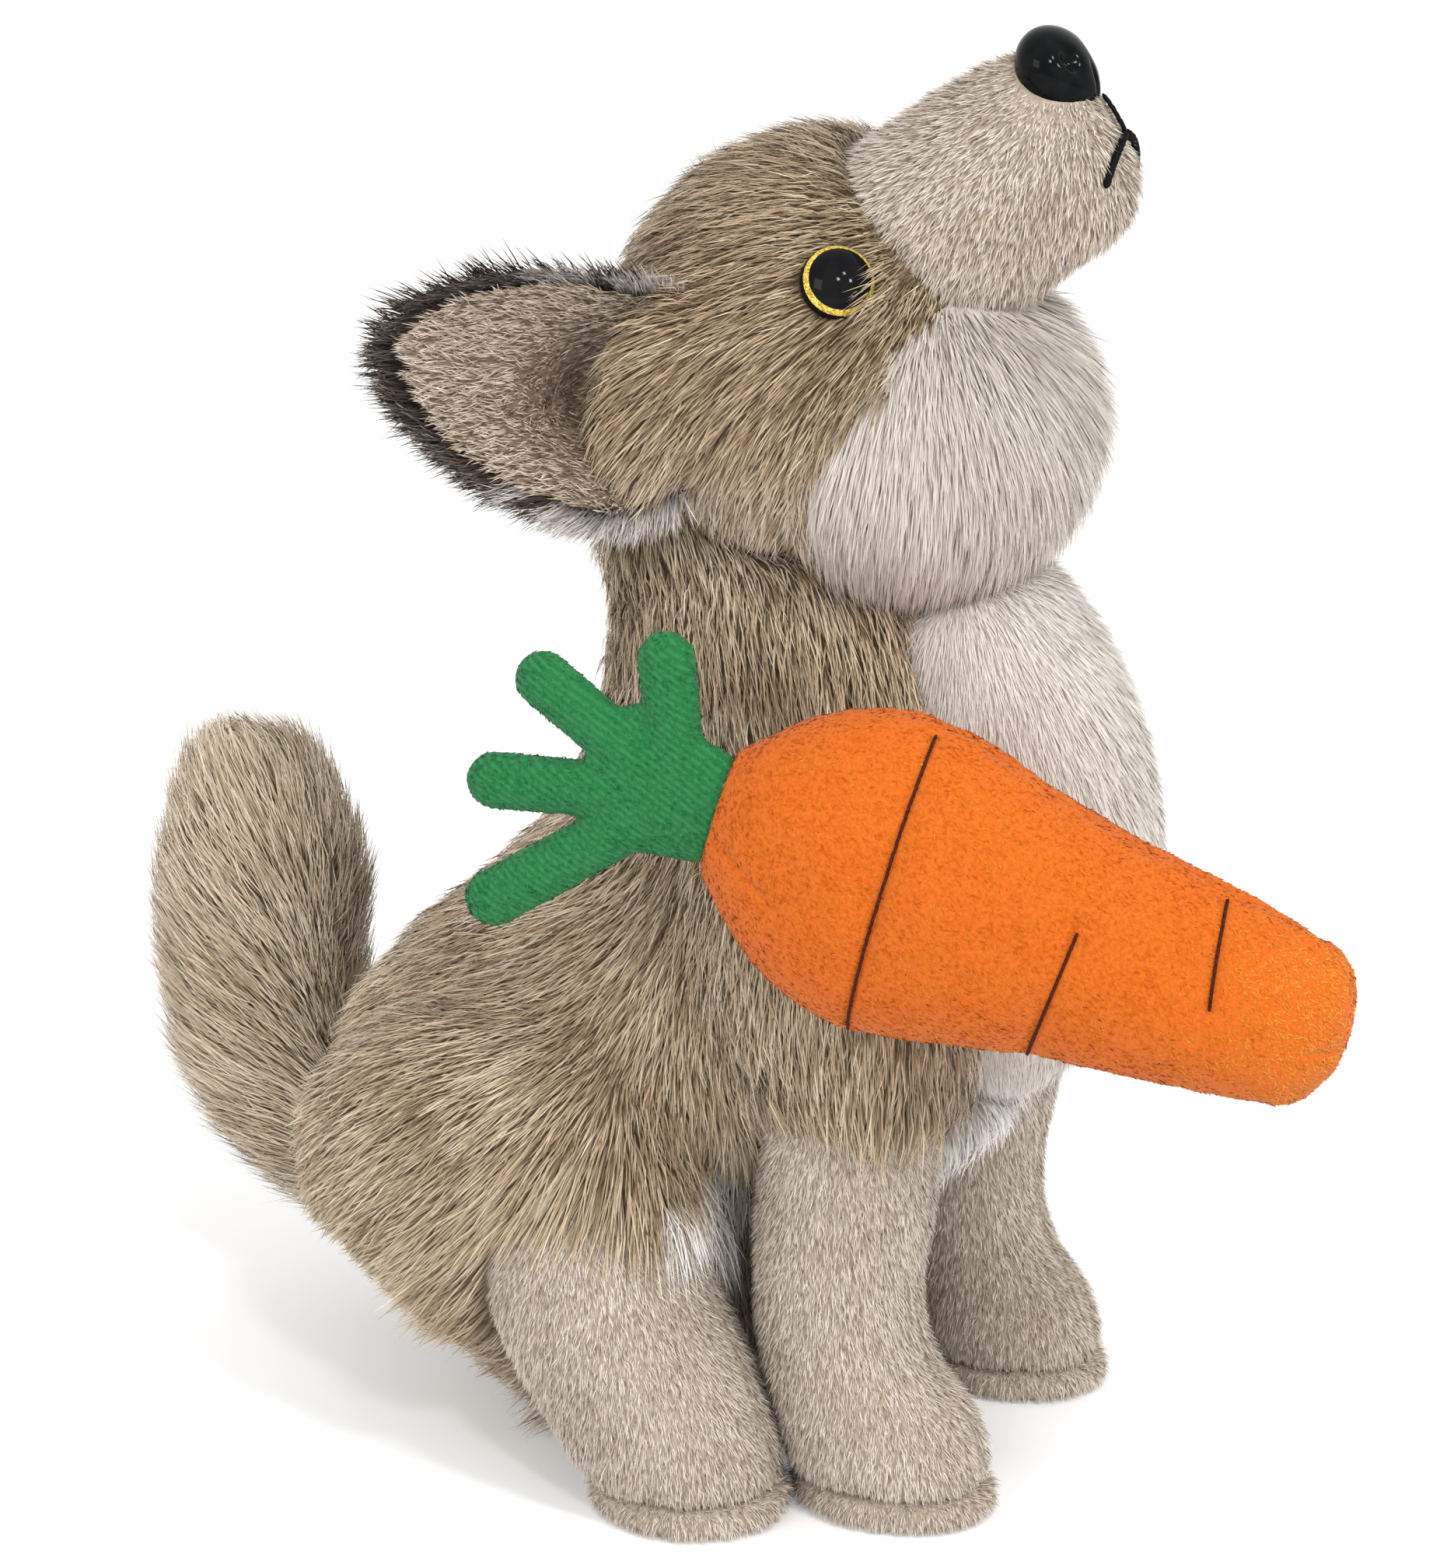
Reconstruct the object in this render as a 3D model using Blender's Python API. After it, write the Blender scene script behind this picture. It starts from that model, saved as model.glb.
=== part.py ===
"""A sitting plush wolf with its head raised, and a stuffed carrot tacked to its right shoulder.

Lengths are metres. The wolf looks along -Y, its right side is at -X, and it sits on z = 0.
Each soft piece is a stuffed form: elliptical sections along a smooth middle line, with rounded ends.
"""

import math

import bmesh
import bpy
from mathutils import Matrix, Vector
from mathutils.bvhtree import BVHTree

# Gap kept between neighbouring pieces
CLEARANCE = 0.0003

# Fineness of the faceted forms
FORM_SIDES = 14
TORSO_SIDES = 20
FINGER_SIDES = 8
STEPS_PER_SPAN = 2
CAP_ANGLES = (36.0, 66.0)
BALL_SEGMENTS = 16
BALL_RINGS = 10
MOULDED_SEGMENTS = 14
MOULDED_RINGS = 8
THREAD_SIDES = 5

# Head: a ball over the top of the torso, tipped back so that the muzzle points up and forward
HEAD_CENTRE_Y = -0.0150
HEAD_RISE = 0.0260
HEAD_HALF_WIDTH = 0.0325
HEAD_HALF_LENGTH = 0.0285
HEAD_HALF_HEIGHT = 0.0310
HEAD_PITCH = 33.0

# Throat and cheek ruff, a second ball in front of and below the head
RUFF_FORWARD = 0.0158
RUFF_DROP = 0.0095
RUFF_HALF_WIDTH = 0.0315
RUFF_HALF_LENGTH = 0.0245
RUFF_HALF_HEIGHT = 0.0258

# Muzzle, measured along the raised axis of the head
MUZZLE_RISE = 0.0050
MUZZLE_START = 0.0140
MUZZLE_LENGTH = 0.0392
MUZZLE_ROOT_HALF_WIDTH = 0.0165
MUZZLE_ROOT_HALF_DEPTH = 0.0160
MUZZLE_TIP_HALF_WIDTH = 0.0115
MUZZLE_ROOT_CAP = 0.0040
MUZZLE_TIP_CAP = 0.0095
MUZZLE_TIP_HALF_DEPTH = 0.0134
MUZZLE_SHARES = (0.0, 0.28, 0.62, 1.0)

# Nose and eyes, moulded
NOSE_HALF_WIDTH = 0.0072
NOSE_HALF_LENGTH = 0.0056
NOSE_HALF_HEIGHT = 0.0056
NOSE_SINK = 0.0030
NOSE_REACH = 0.50
EYE_DIAMETER = 0.0098
EYE_HALF_THICKNESS = 0.0034
EYE_SINK = 0.0010
EYE_SIDE_ANGLE = 62.0
EYE_RAISE_ANGLE = 28.5

# Embroidered mouth
THREAD_RADIUS = 0.0006
MOUTH_FORK_DROP = 0.0035
MOUTH_HALF_WIDTH = 0.0068
MOUTH_LINE_DROP = 0.0085
MOUTH_STEPS = 8
NOSE_THREAD_STEPS = 6
NOSE_THREAD_GAP = 0.0024
MOUTH_THREAD_GAP = 0.0018

# Ears
EAR_LENGTH = 0.0405
EAR_HALF_WIDTH = 0.0185
EAR_THICKNESS = 0.0032
EAR_CUP = 0.0065
EAR_ROOT_SINK = 0.0050
EAR_WIDEST = 0.30
EAR_ROOT_WIDTH_SHARE = 0.74
EAR_FALL_POWER = 2.1
EAR_TIP_POWER = 1.15
EAR_LAST_SECTION = 0.98
EAR_LEAST_HALF_WIDTH = 0.0012
EAR_EDGE_THINNING = 0.35
EAR_LINING_MARGIN = 0.0030
EAR_LINING_THICKNESS = 0.0010
EAR_LINING_GAP = 0.00045
EAR_LINING_MARGIN_LOSS = 0.6
EAR_ROOT_BACK_SHARE = 0.5
EAR_ROOT_DROP_SHARE = 0.08
EAR_OUTWARD = 0.63
EAR_BACKWARD = 0.74
EAR_UPWARD = 0.24
EAR_SPAN_POINTS = 8
EAR_LENGTH_STEPS = 7

# Torso: (height, front y, back y, half width) of level sections
TORSO_SECTIONS = (
    (0.0000, -0.0020, 0.0200, 0.0160),
    (0.0035, -0.0080, 0.0280, 0.0240),
    (0.0115, -0.0140, 0.0380, 0.0310),
    (0.0260, -0.0170, 0.0490, 0.0350),
    (0.0415, -0.0200, 0.0580, 0.0370),
    (0.0535, -0.0320, 0.0560, 0.0365),
    (0.0655, -0.0480, 0.0460, 0.0350),
    (0.0775, -0.0540, 0.0325, 0.0330),
    (0.0905, -0.0570, 0.0215, 0.0315),
    (0.1055, -0.0530, 0.0160, 0.0295),
    (0.1175, -0.0450, 0.0145, 0.0270),
    (0.1285, -0.0360, 0.0155, 0.0245),
)
TORSO_TOP_CAP = 0.0040

# Spines of the stuffed forms: (x, y, z, half width along x, half depth across the line)
CHEST_SPINE = (
    (0.0, -0.0360, 0.1215, 0.0180, 0.0140),
    (0.0, -0.0415, 0.1075, 0.0210, 0.0180),
    (0.0, -0.0450, 0.0905, 0.0220, 0.0195),
    (0.0, -0.0440, 0.0745, 0.0205, 0.0185),
    (0.0, -0.0390, 0.0615, 0.0150, 0.0140),
)
CHEST_TOP_CAP = 0.0060
CHEST_LOW_CAP = 0.0070

BELLY_SPINE = (
    (0.0, -0.0400, 0.0535, 0.0150, 0.0080),
    (0.0, -0.0270, 0.0455, 0.0185, 0.0105),
    (0.0, -0.0160, 0.0325, 0.0190, 0.0105),
    (0.0, -0.0105, 0.0180, 0.0170, 0.0085),
)
BELLY_CAP = 0.0060

TAIL_SPINE = (
    (0.0, 0.0440, 0.0255, 0.0110, 0.0110),
    (0.0, 0.0590, 0.0295, 0.0130, 0.0130),
    (0.0, 0.0700, 0.0405, 0.0145, 0.0153),
    (0.0, 0.0728, 0.0555, 0.0150, 0.0170),
    (0.0, 0.0724, 0.0700, 0.0150, 0.0168),
    (0.0, 0.0735, 0.0820, 0.0125, 0.0130),
)
TAIL_ROOT_CAP = 0.0060
TAIL_TIP_CAP = 0.0090

# Limbs of the left side; the right side mirrors them
HAUNCH_SPINE = (
    (0.0275, 0.0420, 0.0415, 0.0110, 0.0165),
    (0.0295, 0.0290, 0.0420, 0.0155, 0.0245),
    (0.0305, 0.0120, 0.0425, 0.0160, 0.0275),
    (0.0310, -0.0030, 0.0455, 0.0145, 0.0225),
)
HAUNCH_BACK_CAP = 0.0100
HAUNCH_FRONT_CAP = 0.0090

HIND_LEG_SPINE = (
    (0.0320, 0.0060, 0.0385, 0.0110, 0.0115),
    (0.0340, 0.0015, 0.0285, 0.0150, 0.0162),
    (0.0350, -0.0055, 0.0165, 0.0145, 0.0155),
    (0.0350, -0.0105, 0.0070, 0.0135, 0.0145),
    (0.0350, -0.0115, 0.0000, 0.0125, 0.0140),
)
SLEEVE_SPINE = (
    (0.0220, -0.0250, 0.0995, 0.0120, 0.0190),
    (0.0250, -0.0280, 0.0855, 0.0145, 0.0215),
    (0.0265, -0.0305, 0.0725, 0.0150, 0.0200),
    (0.0265, -0.0315, 0.0625, 0.0138, 0.0180),
)
SLEEVE_TOP_CAP = 0.0060
SLEEVE_LOW_CAP = 0.0070

FRONT_LEG_SPINE = (
    (0.0255, -0.0315, 0.0635, 0.0095, 0.0110),
    (0.0245, -0.0305, 0.0495, 0.0122, 0.0130),
    (0.0235, -0.0285, 0.0305, 0.0117, 0.0125),
    (0.0230, -0.0310, 0.0160, 0.0118, 0.0132),
    (0.0225, -0.0355, 0.0070, 0.0122, 0.0152),
    (0.0225, -0.0365, 0.0000, 0.0115, 0.0145),
)
LIMB_ROOT_CAP = 0.0040
LIMB_LOW_CAP = 0.0020

# Sole panels, padded discs under the feet
SOLE_HEIGHT = 0.0040
SOLE_EDGE_HEIGHT = 0.0024
SOLE_LIP = 0.0005
SOLE_GROUND_SHARE = 0.86
SOLE_TOP_SHARE = 0.96
FLOOR_CUT_WIDTH = 0.4
FLOOR_CUT_DEPTH = 0.04

# Carrot, measured along its own axis from the joint with the leaves
CARROT_JOINT_X = -0.0485
CARROT_JOINT_Y = -0.0220
CARROT_JOINT_Z = 0.1053
CARROT_YAW = 10.0
CARROT_DIP = 16.4
CARROT_LENGTH = 0.0840

# Sections of the carrot: (share of its length, half width, half thickness)
CARROT_PROFILE = (
    (0.000, 0.0090, 0.0050),
    (0.100, 0.0170, 0.0100),
    (0.200, 0.0213, 0.0125),
    (0.310, 0.0219, 0.0125),
    (0.560, 0.0168, 0.0113),
    (0.780, 0.0141, 0.0100),
    (0.910, 0.0123, 0.0075),
)
CARROT_SIDES = 14
STITCH_RADIUS = 0.0004
STITCH_STEPS = 12
STITCH_GAP = 0.0004
STITCH_AIM_DISTANCE = 0.06

# Stitched lines: (name, share of the length, start and end angle round the carrot in degrees, lean)
CARROT_STITCHES = (
    ("carrot_stitch_crown", 0.287, 68.4, -68.4, -0.005),
    ("carrot_stitch_middle", 0.572, 18.7, -68.4, 0.012),
    ("carrot_stitch_tip", 0.797, 68.4, 4.6, -0.035),
)

# Leaves of the carrot: one palm with four fingers
LEAF_HALF_THICKNESS = 0.0026
LEAF_PALM_LENGTH = 0.0130
LEAF_PALM_HALF_WIDTH = 0.0105
LEAF_FINGER_HALF_WIDTH = 0.0037
LEAF_FINGER_THINNING = 0.05
LEAF_JOINT_GAP = 0.0007
LEAF_PALM_CAP_SHARE = 0.5
LEAF_FINGER_START = 0.35

# Sections of the palm: (share of its length, share of the half width, share of the thickness)
LEAF_PALM_ROWS = (
    (0.00, 0.86, 0.7),
    (0.45, 0.92, 1.0),
    (1.00, 1.00, 1.0),
)

# Sections of a finger: (share of its length, share of the half width)
LEAF_FINGER_ROWS = (
    (0.00, 0.90),
    (0.45, 1.00),
    (1.00, 1.04),
)

# Fingers: (length, angle from the line of the carrot in degrees)
LEAF_FINGERS = (
    (0.0217, 67.8),
    (0.0265, 22.0),
    (0.0282, -15.9),
    (0.0332, -48.5),
)


def clear_scene():
    """Remove every object, so that the model starts empty."""
    for item in list(bpy.data.objects):
        bpy.data.objects.remove(item, do_unlink=True)


def make_material(name, colour, roughness):
    """A plain finish in the colour of the piece."""
    material = bpy.data.materials.new(name)
    material.use_nodes = True
    shader = material.node_tree.nodes["Principled BSDF"]
    shader.inputs["Base Color"].default_value = (*colour, 1.0)
    shader.inputs["Roughness"].default_value = roughness
    shader.inputs["Metallic"].default_value = 0.0
    return material


def place_object(name, shape, material, parent):
    """Turn a bmesh into a smooth shaded object of its own."""
    mesh = bpy.data.meshes.new(name)
    shape.to_mesh(mesh)
    shape.free()
    mesh.shade_smooth()
    mesh.set_sharp_from_angle(angle=math.radians(50.0))
    piece = bpy.data.objects.new(name, mesh)
    piece.data.materials.append(material)
    piece.parent = parent
    bpy.context.scene.collection.objects.link(piece)
    return piece


def skin(rings):
    """Join closed rings of points with faces and fan both ends to their middles."""
    shape = bmesh.new()
    rows = [[shape.verts.new(point) for point in ring] for ring in rings]
    count = len(rows[0])
    for lower, upper in zip(rows, rows[1:]):
        for index in range(count):
            following = (index + 1) % count
            shape.faces.new((lower[index], lower[following], upper[following], upper[index]))
    for ring, row in ((rings[0], rows[0]), (rings[-1], rows[-1])):
        middle = shape.verts.new(sum(ring, Vector()) / count)
        for index in range(count):
            shape.faces.new((row[index], row[(index + 1) % count], middle))
    bmesh.ops.recalc_face_normals(shape, faces=shape.faces)
    return shape


def smooth_row(rows, place):
    """Blend four neighbouring rows of numbers into one row on a smooth curve."""
    span = min(int(place), len(rows) - 2)
    share = place - span
    before = rows[max(span - 1, 0)]
    start = rows[span]
    end = rows[span + 1]
    after = rows[min(span + 2, len(rows) - 1)]
    result = []
    for a, b, c, d in zip(before, start, end, after):
        linear = (c - a) * share
        square = (2.0 * a - 5.0 * b + 4.0 * c - d) * share ** 2
        cube = (3.0 * b - a - 3.0 * c + d) * share ** 3
        result.append(b + 0.5 * (linear + square + cube))
    return result


def refine(rows):
    """More rows on the same smooth curve."""
    count = (len(rows) - 1) * STEPS_PER_SPAN
    return [smooth_row(rows, step / STEPS_PER_SPAN) for step in range(count + 1)]


def section_ring(centre, side, across, half_width, half_depth, sides, start=0.0):
    """One elliptical section of a stuffed form; start turns its first point by a share of a side."""
    ring = []
    for index in range(sides):
        turn = 2.0 * math.pi * (index + start) / sides
        ring.append(centre + side * half_width * math.cos(turn) + across * half_depth * math.sin(turn))
    return ring


def stuffed_form(spine, start_cap, end_cap, sides=FORM_SIDES):
    """Elliptical sections along a smooth middle line, with rounded ends."""
    rows = refine(spine)
    centres = [Vector(row[:3]) for row in rows]
    rings = []
    for index, row in enumerate(rows):
        ahead = centres[min(index + 1, len(rows) - 1)]
        behind = centres[max(index - 1, 0)]
        along = (ahead - behind).normalized()
        side = (Vector((1.0, 0.0, 0.0)) - along * along.x).normalized()
        across = along.cross(side)
        section = (centres[index], side, across, row[3], row[4], sides)
        if index == 0:
            rings.extend(reversed(cap_rings(section, -along * start_cap)))
        rings.append(section_ring(*section))
        if index == len(rows) - 1:
            rings.extend(cap_rings(section, along * end_cap))
    return skin(rings)


def cap_rings(section, reach):
    """Shrinking sections that round off one end of a form."""
    centre, side, across, half_width, half_depth, sides = section
    rings = []
    for angle in CAP_ANGLES:
        turn = math.radians(angle)
        share = math.cos(turn)
        moved = centre + reach * math.sin(turn)
        rings.append(section_ring(moved, side, across, half_width * share, half_depth * share, sides))
    return rings


def level_form(sections, top_cap):
    """Level elliptical sections stacked upwards, flat below and rounded above."""
    side = Vector((1.0, 0.0, 0.0))
    across = Vector((0.0, 1.0, 0.0))
    rings = []
    for height, front, back, half_width in sections:
        centre = Vector((0.0, 0.5 * (front + back), height))
        section = (centre, side, across, half_width, 0.5 * (back - front), TORSO_SIDES)
        rings.append(section_ring(*section))
    rings.extend(cap_rings(section, Vector((0.0, 0.0, top_cap))))
    return skin(rings)


def ball(centre, radii, turn, segments=BALL_SEGMENTS, rings=BALL_RINGS):
    """A stretched ball, turned about its middle."""
    shape = bmesh.new()
    bmesh.ops.create_uvsphere(shape, u_segments=segments, v_segments=rings, radius=1.0)
    matrix = Matrix.Translation(centre) @ turn.to_4x4() @ Matrix.Diagonal((*radii, 1.0))
    bmesh.ops.transform(shape, matrix=matrix, verts=shape.verts)
    return shape


def thread_tube(points, radius):
    """A round thread through a row of points."""
    rings = []
    for index, point in enumerate(points):
        ahead = points[min(index + 1, len(points) - 1)]
        behind = points[max(index - 1, 0)]
        along = (ahead - behind).normalized()
        if index == 0:
            side = along.orthogonal()
        side = (side - along * side.dot(along)).normalized()
        rings.append(section_ring(point, side, along.cross(side), radius, radius, THREAD_SIDES))
    return skin(rings)


def mirrored(rows, hand):
    """The same rows on the left (hand 1) or the right (hand -1)."""
    return [(row[0] * hand, *row[1:]) for row in rows]


def lay_on(tree, guesses, lift):
    """Points just above a surface, nearest to the guessed points."""
    laid = []
    for guess in guesses:
        spot, normal, _, _ = tree.find_nearest(guess)
        laid.append(spot + normal * lift)
    return laid


def grown_cutter(name, source, distance):
    """A hidden copy of a form, grown by an even distance, which cuts its neighbours."""
    shape = bmesh.new()
    shape.from_mesh(source.data)
    shape.normal_update()
    moves = [vertex.normal * distance * vertex.calc_shell_factor() for vertex in shape.verts]
    for vertex, move in zip(shape.verts, moves):
        vertex.co += move
    mesh = bpy.data.meshes.new(name)
    shape.to_mesh(mesh)
    shape.free()
    return hide_cutter(name, mesh, source.parent)


def hide_cutter(name, mesh, parent):
    """Link a cutting tool that is not part of the model."""
    cutter = bpy.data.objects.new(name, mesh)
    cutter.parent = parent
    cutter.hide_render = True
    cutter.display_type = "WIRE"
    bpy.context.scene.collection.objects.link(cutter)
    return cutter


def carve(piece, cutters):
    """Make room in a piece for its neighbours."""
    for cutter in cutters:
        cut = piece.modifiers.new("room_for_" + cutter.name, "BOOLEAN")
        cut.operation = "DIFFERENCE"
        cut.solver = "EXACT"
        cut.object = cutter


def head_axes():
    """Directions of the raised head: forward along the muzzle, and up from the bridge."""
    pitch = math.radians(HEAD_PITCH)
    forward = Vector((0.0, -math.cos(pitch), math.sin(pitch)))
    upward = Vector((0.0, math.sin(pitch), math.cos(pitch)))
    return forward, upward


def head_centre():
    """Middle of the head ball, which stands on the highest section of the torso."""
    return Vector((0.0, HEAD_CENTRE_Y, TORSO_SECTIONS[-1][0] + HEAD_RISE))


def head_surface(direction, sink):
    """A point under the skin of the head in a given direction, and the outward normal there."""
    radii = Vector((HEAD_HALF_WIDTH, HEAD_HALF_LENGTH, HEAD_HALF_HEIGHT))
    stretched = Vector(part / radius for part, radius in zip(direction, radii))
    offset = direction / stretched.length
    normal = Vector(part / radius ** 2 for part, radius in zip(offset, radii)).normalized()
    return head_centre() + offset - normal * sink, normal


def muzzle_spine():
    """Sections of the muzzle from inside the head to its blunt end."""
    forward, upward = head_axes()
    base = head_centre() + upward * MUZZLE_RISE
    rows = []
    for share in MUZZLE_SHARES:
        spot = base + forward * (MUZZLE_START + share * (MUZZLE_LENGTH - MUZZLE_TIP_CAP))
        half_width = MUZZLE_ROOT_HALF_WIDTH + share * (MUZZLE_TIP_HALF_WIDTH - MUZZLE_ROOT_HALF_WIDTH)
        half_depth = MUZZLE_ROOT_HALF_DEPTH + share * (MUZZLE_TIP_HALF_DEPTH - MUZZLE_ROOT_HALF_DEPTH)
        rows.append((*spot, half_width, half_depth))
    return rows


def nose_centre():
    """The nose sits on the upper front edge of the muzzle."""
    forward, upward = head_axes()
    tip = Vector(muzzle_spine()[-1][:3])
    return tip + forward * (NOSE_REACH * MUZZLE_TIP_CAP) + upward * (MUZZLE_TIP_HALF_DEPTH - NOSE_SINK)


def build_head(root, finishes):
    """Head, ruff, muzzle, nose, eyes and mouth."""
    level = Matrix.Identity(3)
    head_radii = (HEAD_HALF_WIDTH, HEAD_HALF_LENGTH, HEAD_HALF_HEIGHT)
    head = place_object("head", ball(head_centre(), head_radii, level), finishes["brown"], root)
    ruff_centre = head_centre() + Vector((0.0, -RUFF_FORWARD, -RUFF_DROP))
    ruff_radii = (RUFF_HALF_WIDTH, RUFF_HALF_LENGTH, RUFF_HALF_HEIGHT)
    ruff = place_object("throat_ruff", ball(ruff_centre, ruff_radii, level), finishes["cream"], root)
    muzzle_shape = stuffed_form(muzzle_spine(), MUZZLE_ROOT_CAP, MUZZLE_TIP_CAP)
    muzzle_tree = BVHTree.FromBMesh(muzzle_shape)
    muzzle = place_object("muzzle", muzzle_shape, finishes["beige"], root)
    tilt = Matrix.Rotation(-math.radians(HEAD_PITCH), 3, "X")
    nose_radii = (NOSE_HALF_WIDTH, NOSE_HALF_LENGTH, NOSE_HALF_HEIGHT)
    nose_form = ball(nose_centre(), nose_radii, tilt, MOULDED_SEGMENTS, MOULDED_RINGS)
    nose = place_object("nose", nose_form, finishes["black"], root)
    eyes = [build_eye(hand, root, finishes["eye"]) for hand in (-1, 1)]
    build_mouth(muzzle_tree, root, finishes["thread"])
    return head, ruff, muzzle, nose, eyes


def side_name(stem, hand):
    """Name of a paired piece: hand -1 is the right side."""
    return stem + ("_right" if hand < 0 else "_left")


def build_eye(hand, root, finish):
    """A domed eye set in the side of the head."""
    side = math.radians(EYE_SIDE_ANGLE)
    rise = math.radians(EYE_RAISE_ANGLE)
    direction = Vector((
        hand * math.sin(side) * math.cos(rise),
        -math.cos(side) * math.cos(rise),
        math.sin(rise),
    ))
    centre, normal = head_surface(direction, EYE_SINK)
    turn = normal.to_track_quat("Z", "Y").to_matrix()
    radii = (0.5 * EYE_DIAMETER, 0.5 * EYE_DIAMETER, EYE_HALF_THICKNESS)
    form = ball(centre, radii, turn, MOULDED_SEGMENTS, MOULDED_RINGS)
    return place_object(side_name("eye", hand), form, finish, root)


def build_mouth(tree, root, finish):
    """One thread down from the nose and one curved line across the front of the muzzle."""
    forward, upward = head_axes()
    lift = THREAD_RADIUS + CLEARANCE
    front = nose_centre() + forward * NOSE_HALF_LENGTH
    under_nose = front - upward * (NOSE_HALF_HEIGHT + NOSE_THREAD_GAP)
    fork = under_nose - upward * MOUTH_FORK_DROP
    guesses = [under_nose.lerp(fork, step / NOSE_THREAD_STEPS) for step in range(NOSE_THREAD_STEPS)]
    place_object("nose_thread", thread_tube(lay_on(tree, guesses, lift), THREAD_RADIUS), finish, root)
    start = fork - upward * MOUTH_THREAD_GAP
    guesses = []
    for step in range(-MOUTH_STEPS, MOUTH_STEPS + 1):
        share = step / MOUTH_STEPS
        drop = upward * (MOUTH_LINE_DROP * share ** 2)
        guesses.append(start + Vector((MOUTH_HALF_WIDTH * share, 0.0, 0.0)) - drop)
    place_object("mouth_thread", thread_tube(lay_on(tree, guesses, lift), THREAD_RADIUS), finish, root)


def ear_frame(hand):
    """Root, direction to the tip, width direction and open side of one ear."""
    along = Vector((hand * EAR_OUTWARD, EAR_BACKWARD, EAR_UPWARD)).normalized()
    across = (Vector((0.0, 0.0, 1.0)) - along * along.z).normalized()
    facing = across.cross(along) * hand
    if facing.y > 0.0:
        facing = -facing
    back = EAR_ROOT_BACK_SHARE * HEAD_HALF_LENGTH
    direction = Vector((hand * HEAD_HALF_WIDTH, back, -EAR_ROOT_DROP_SHARE * HEAD_HALF_HEIGHT))
    spot, _ = head_surface(direction.normalized(), EAR_ROOT_SINK)
    return spot, along, across, facing


def ear_half_width(share):
    """Half width of the ear: narrow at the root, widest near a third, rounded at the tip."""
    if share < EAR_WIDEST:
        rise = share / EAR_WIDEST
        return EAR_ROOT_WIDTH_SHARE + (1.0 - EAR_ROOT_WIDTH_SHARE) * math.sin(0.5 * math.pi * rise)
    fall = (share - EAR_WIDEST) / (1.0 - EAR_WIDEST)
    return math.sqrt(max(1.0 - fall ** EAR_FALL_POWER, 0.0)) ** EAR_TIP_POWER


def ear_rings(hand, margin, back, front):
    """Flat sections of a cupped panel, from the head to the tip of the ear."""
    spot, along, across, facing = ear_frame(hand)
    spot = spot - along * EAR_ROOT_SINK
    length = EAR_LENGTH + EAR_ROOT_SINK - margin
    rings = []
    for step in range(EAR_LENGTH_STEPS):
        share = EAR_LAST_SECTION * math.sin(0.5 * math.pi * step / (EAR_LENGTH_STEPS - 1))
        half = EAR_HALF_WIDTH * ear_half_width(share) - margin * (1.0 - EAR_LINING_MARGIN_LOSS * share)
        half = max(half, EAR_LEAST_HALF_WIDTH)
        ring = []
        for level, order in ((back, 1), (front, -1)):
            for index in range(EAR_SPAN_POINTS):
                place = order * (2.0 * index / (EAR_SPAN_POINTS - 1) - 1.0)
                offset = EAR_CUP * (half * place / EAR_HALF_WIDTH) ** 2
                thin = 1.0 - EAR_EDGE_THINNING * place ** 2
                height = offset + level * (thin if level == back else 1.0)
                ring.append(spot + along * (length * share) + across * (half * place) + facing * height)
        rings.append(ring)
    return rings


def build_ear(hand, root, finishes):
    """Outer panel and lining of one ear."""
    outer = skin(ear_rings(hand, 0.0, -EAR_THICKNESS, 0.0))
    back = place_object(side_name("ear_back", hand), outer, finishes["dark"], root)
    far = EAR_LINING_GAP + EAR_LINING_THICKNESS
    inner = skin(ear_rings(hand, EAR_LINING_MARGIN, EAR_LINING_GAP, far))
    lining = place_object(side_name("ear_lining", hand), inner, finishes["beige"], root)
    return [back, lining]


def build_sole(stem, hand, spine, root, finish):
    """A padded disc under one foot, flat where it meets the floor."""
    foot_x, foot_y, _, half_width, half_depth = spine[-1]
    side = Vector((1.0, 0.0, 0.0))
    across = Vector((0.0, 1.0, 0.0))
    rings = []
    heights = ((0.0, SOLE_GROUND_SHARE), (SOLE_EDGE_HEIGHT, 1.0), (SOLE_HEIGHT, SOLE_TOP_SHARE))
    for height, share in heights:
        centre = Vector((hand * foot_x, foot_y, height))
        wide = (half_width + SOLE_LIP) * share
        deep = (half_depth + SOLE_LIP) * share
        rings.append(section_ring(centre, side, across, wide, deep, FORM_SIDES))
    return place_object(side_name(stem, hand), skin(rings), finish, root)


def floor_slab(root):
    """Cutting tool that levels the feet on top of their soles."""
    shape = bmesh.new()
    bmesh.ops.create_cube(shape, size=1.0)
    top = SOLE_HEIGHT + CLEARANCE
    size = (FLOOR_CUT_WIDTH, FLOOR_CUT_WIDTH, FLOOR_CUT_DEPTH, 1.0)
    matrix = Matrix.Translation((0.0, 0.0, top - 0.5 * FLOOR_CUT_DEPTH)) @ Matrix.Diagonal(size)
    bmesh.ops.transform(shape, matrix=matrix, verts=shape.verts)
    mesh = bpy.data.meshes.new("cut_floor")
    shape.to_mesh(mesh)
    shape.free()
    return hide_cutter("cut_floor", mesh, root)


def carrot_axes():
    """Axis of the carrot, the direction across it in its own plane, and its outer face."""
    yaw = math.radians(CARROT_YAW)
    dip = math.radians(CARROT_DIP)
    level = Vector((math.sin(yaw), -math.cos(yaw), 0.0))
    rise = Vector((0.0, 0.0, 1.0))
    along = level * math.cos(dip) - rise * math.sin(dip)
    across = level * math.sin(dip) + rise * math.cos(dip)
    outward = Vector((-math.cos(yaw), -math.sin(yaw), 0.0))
    return along, across, outward


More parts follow.
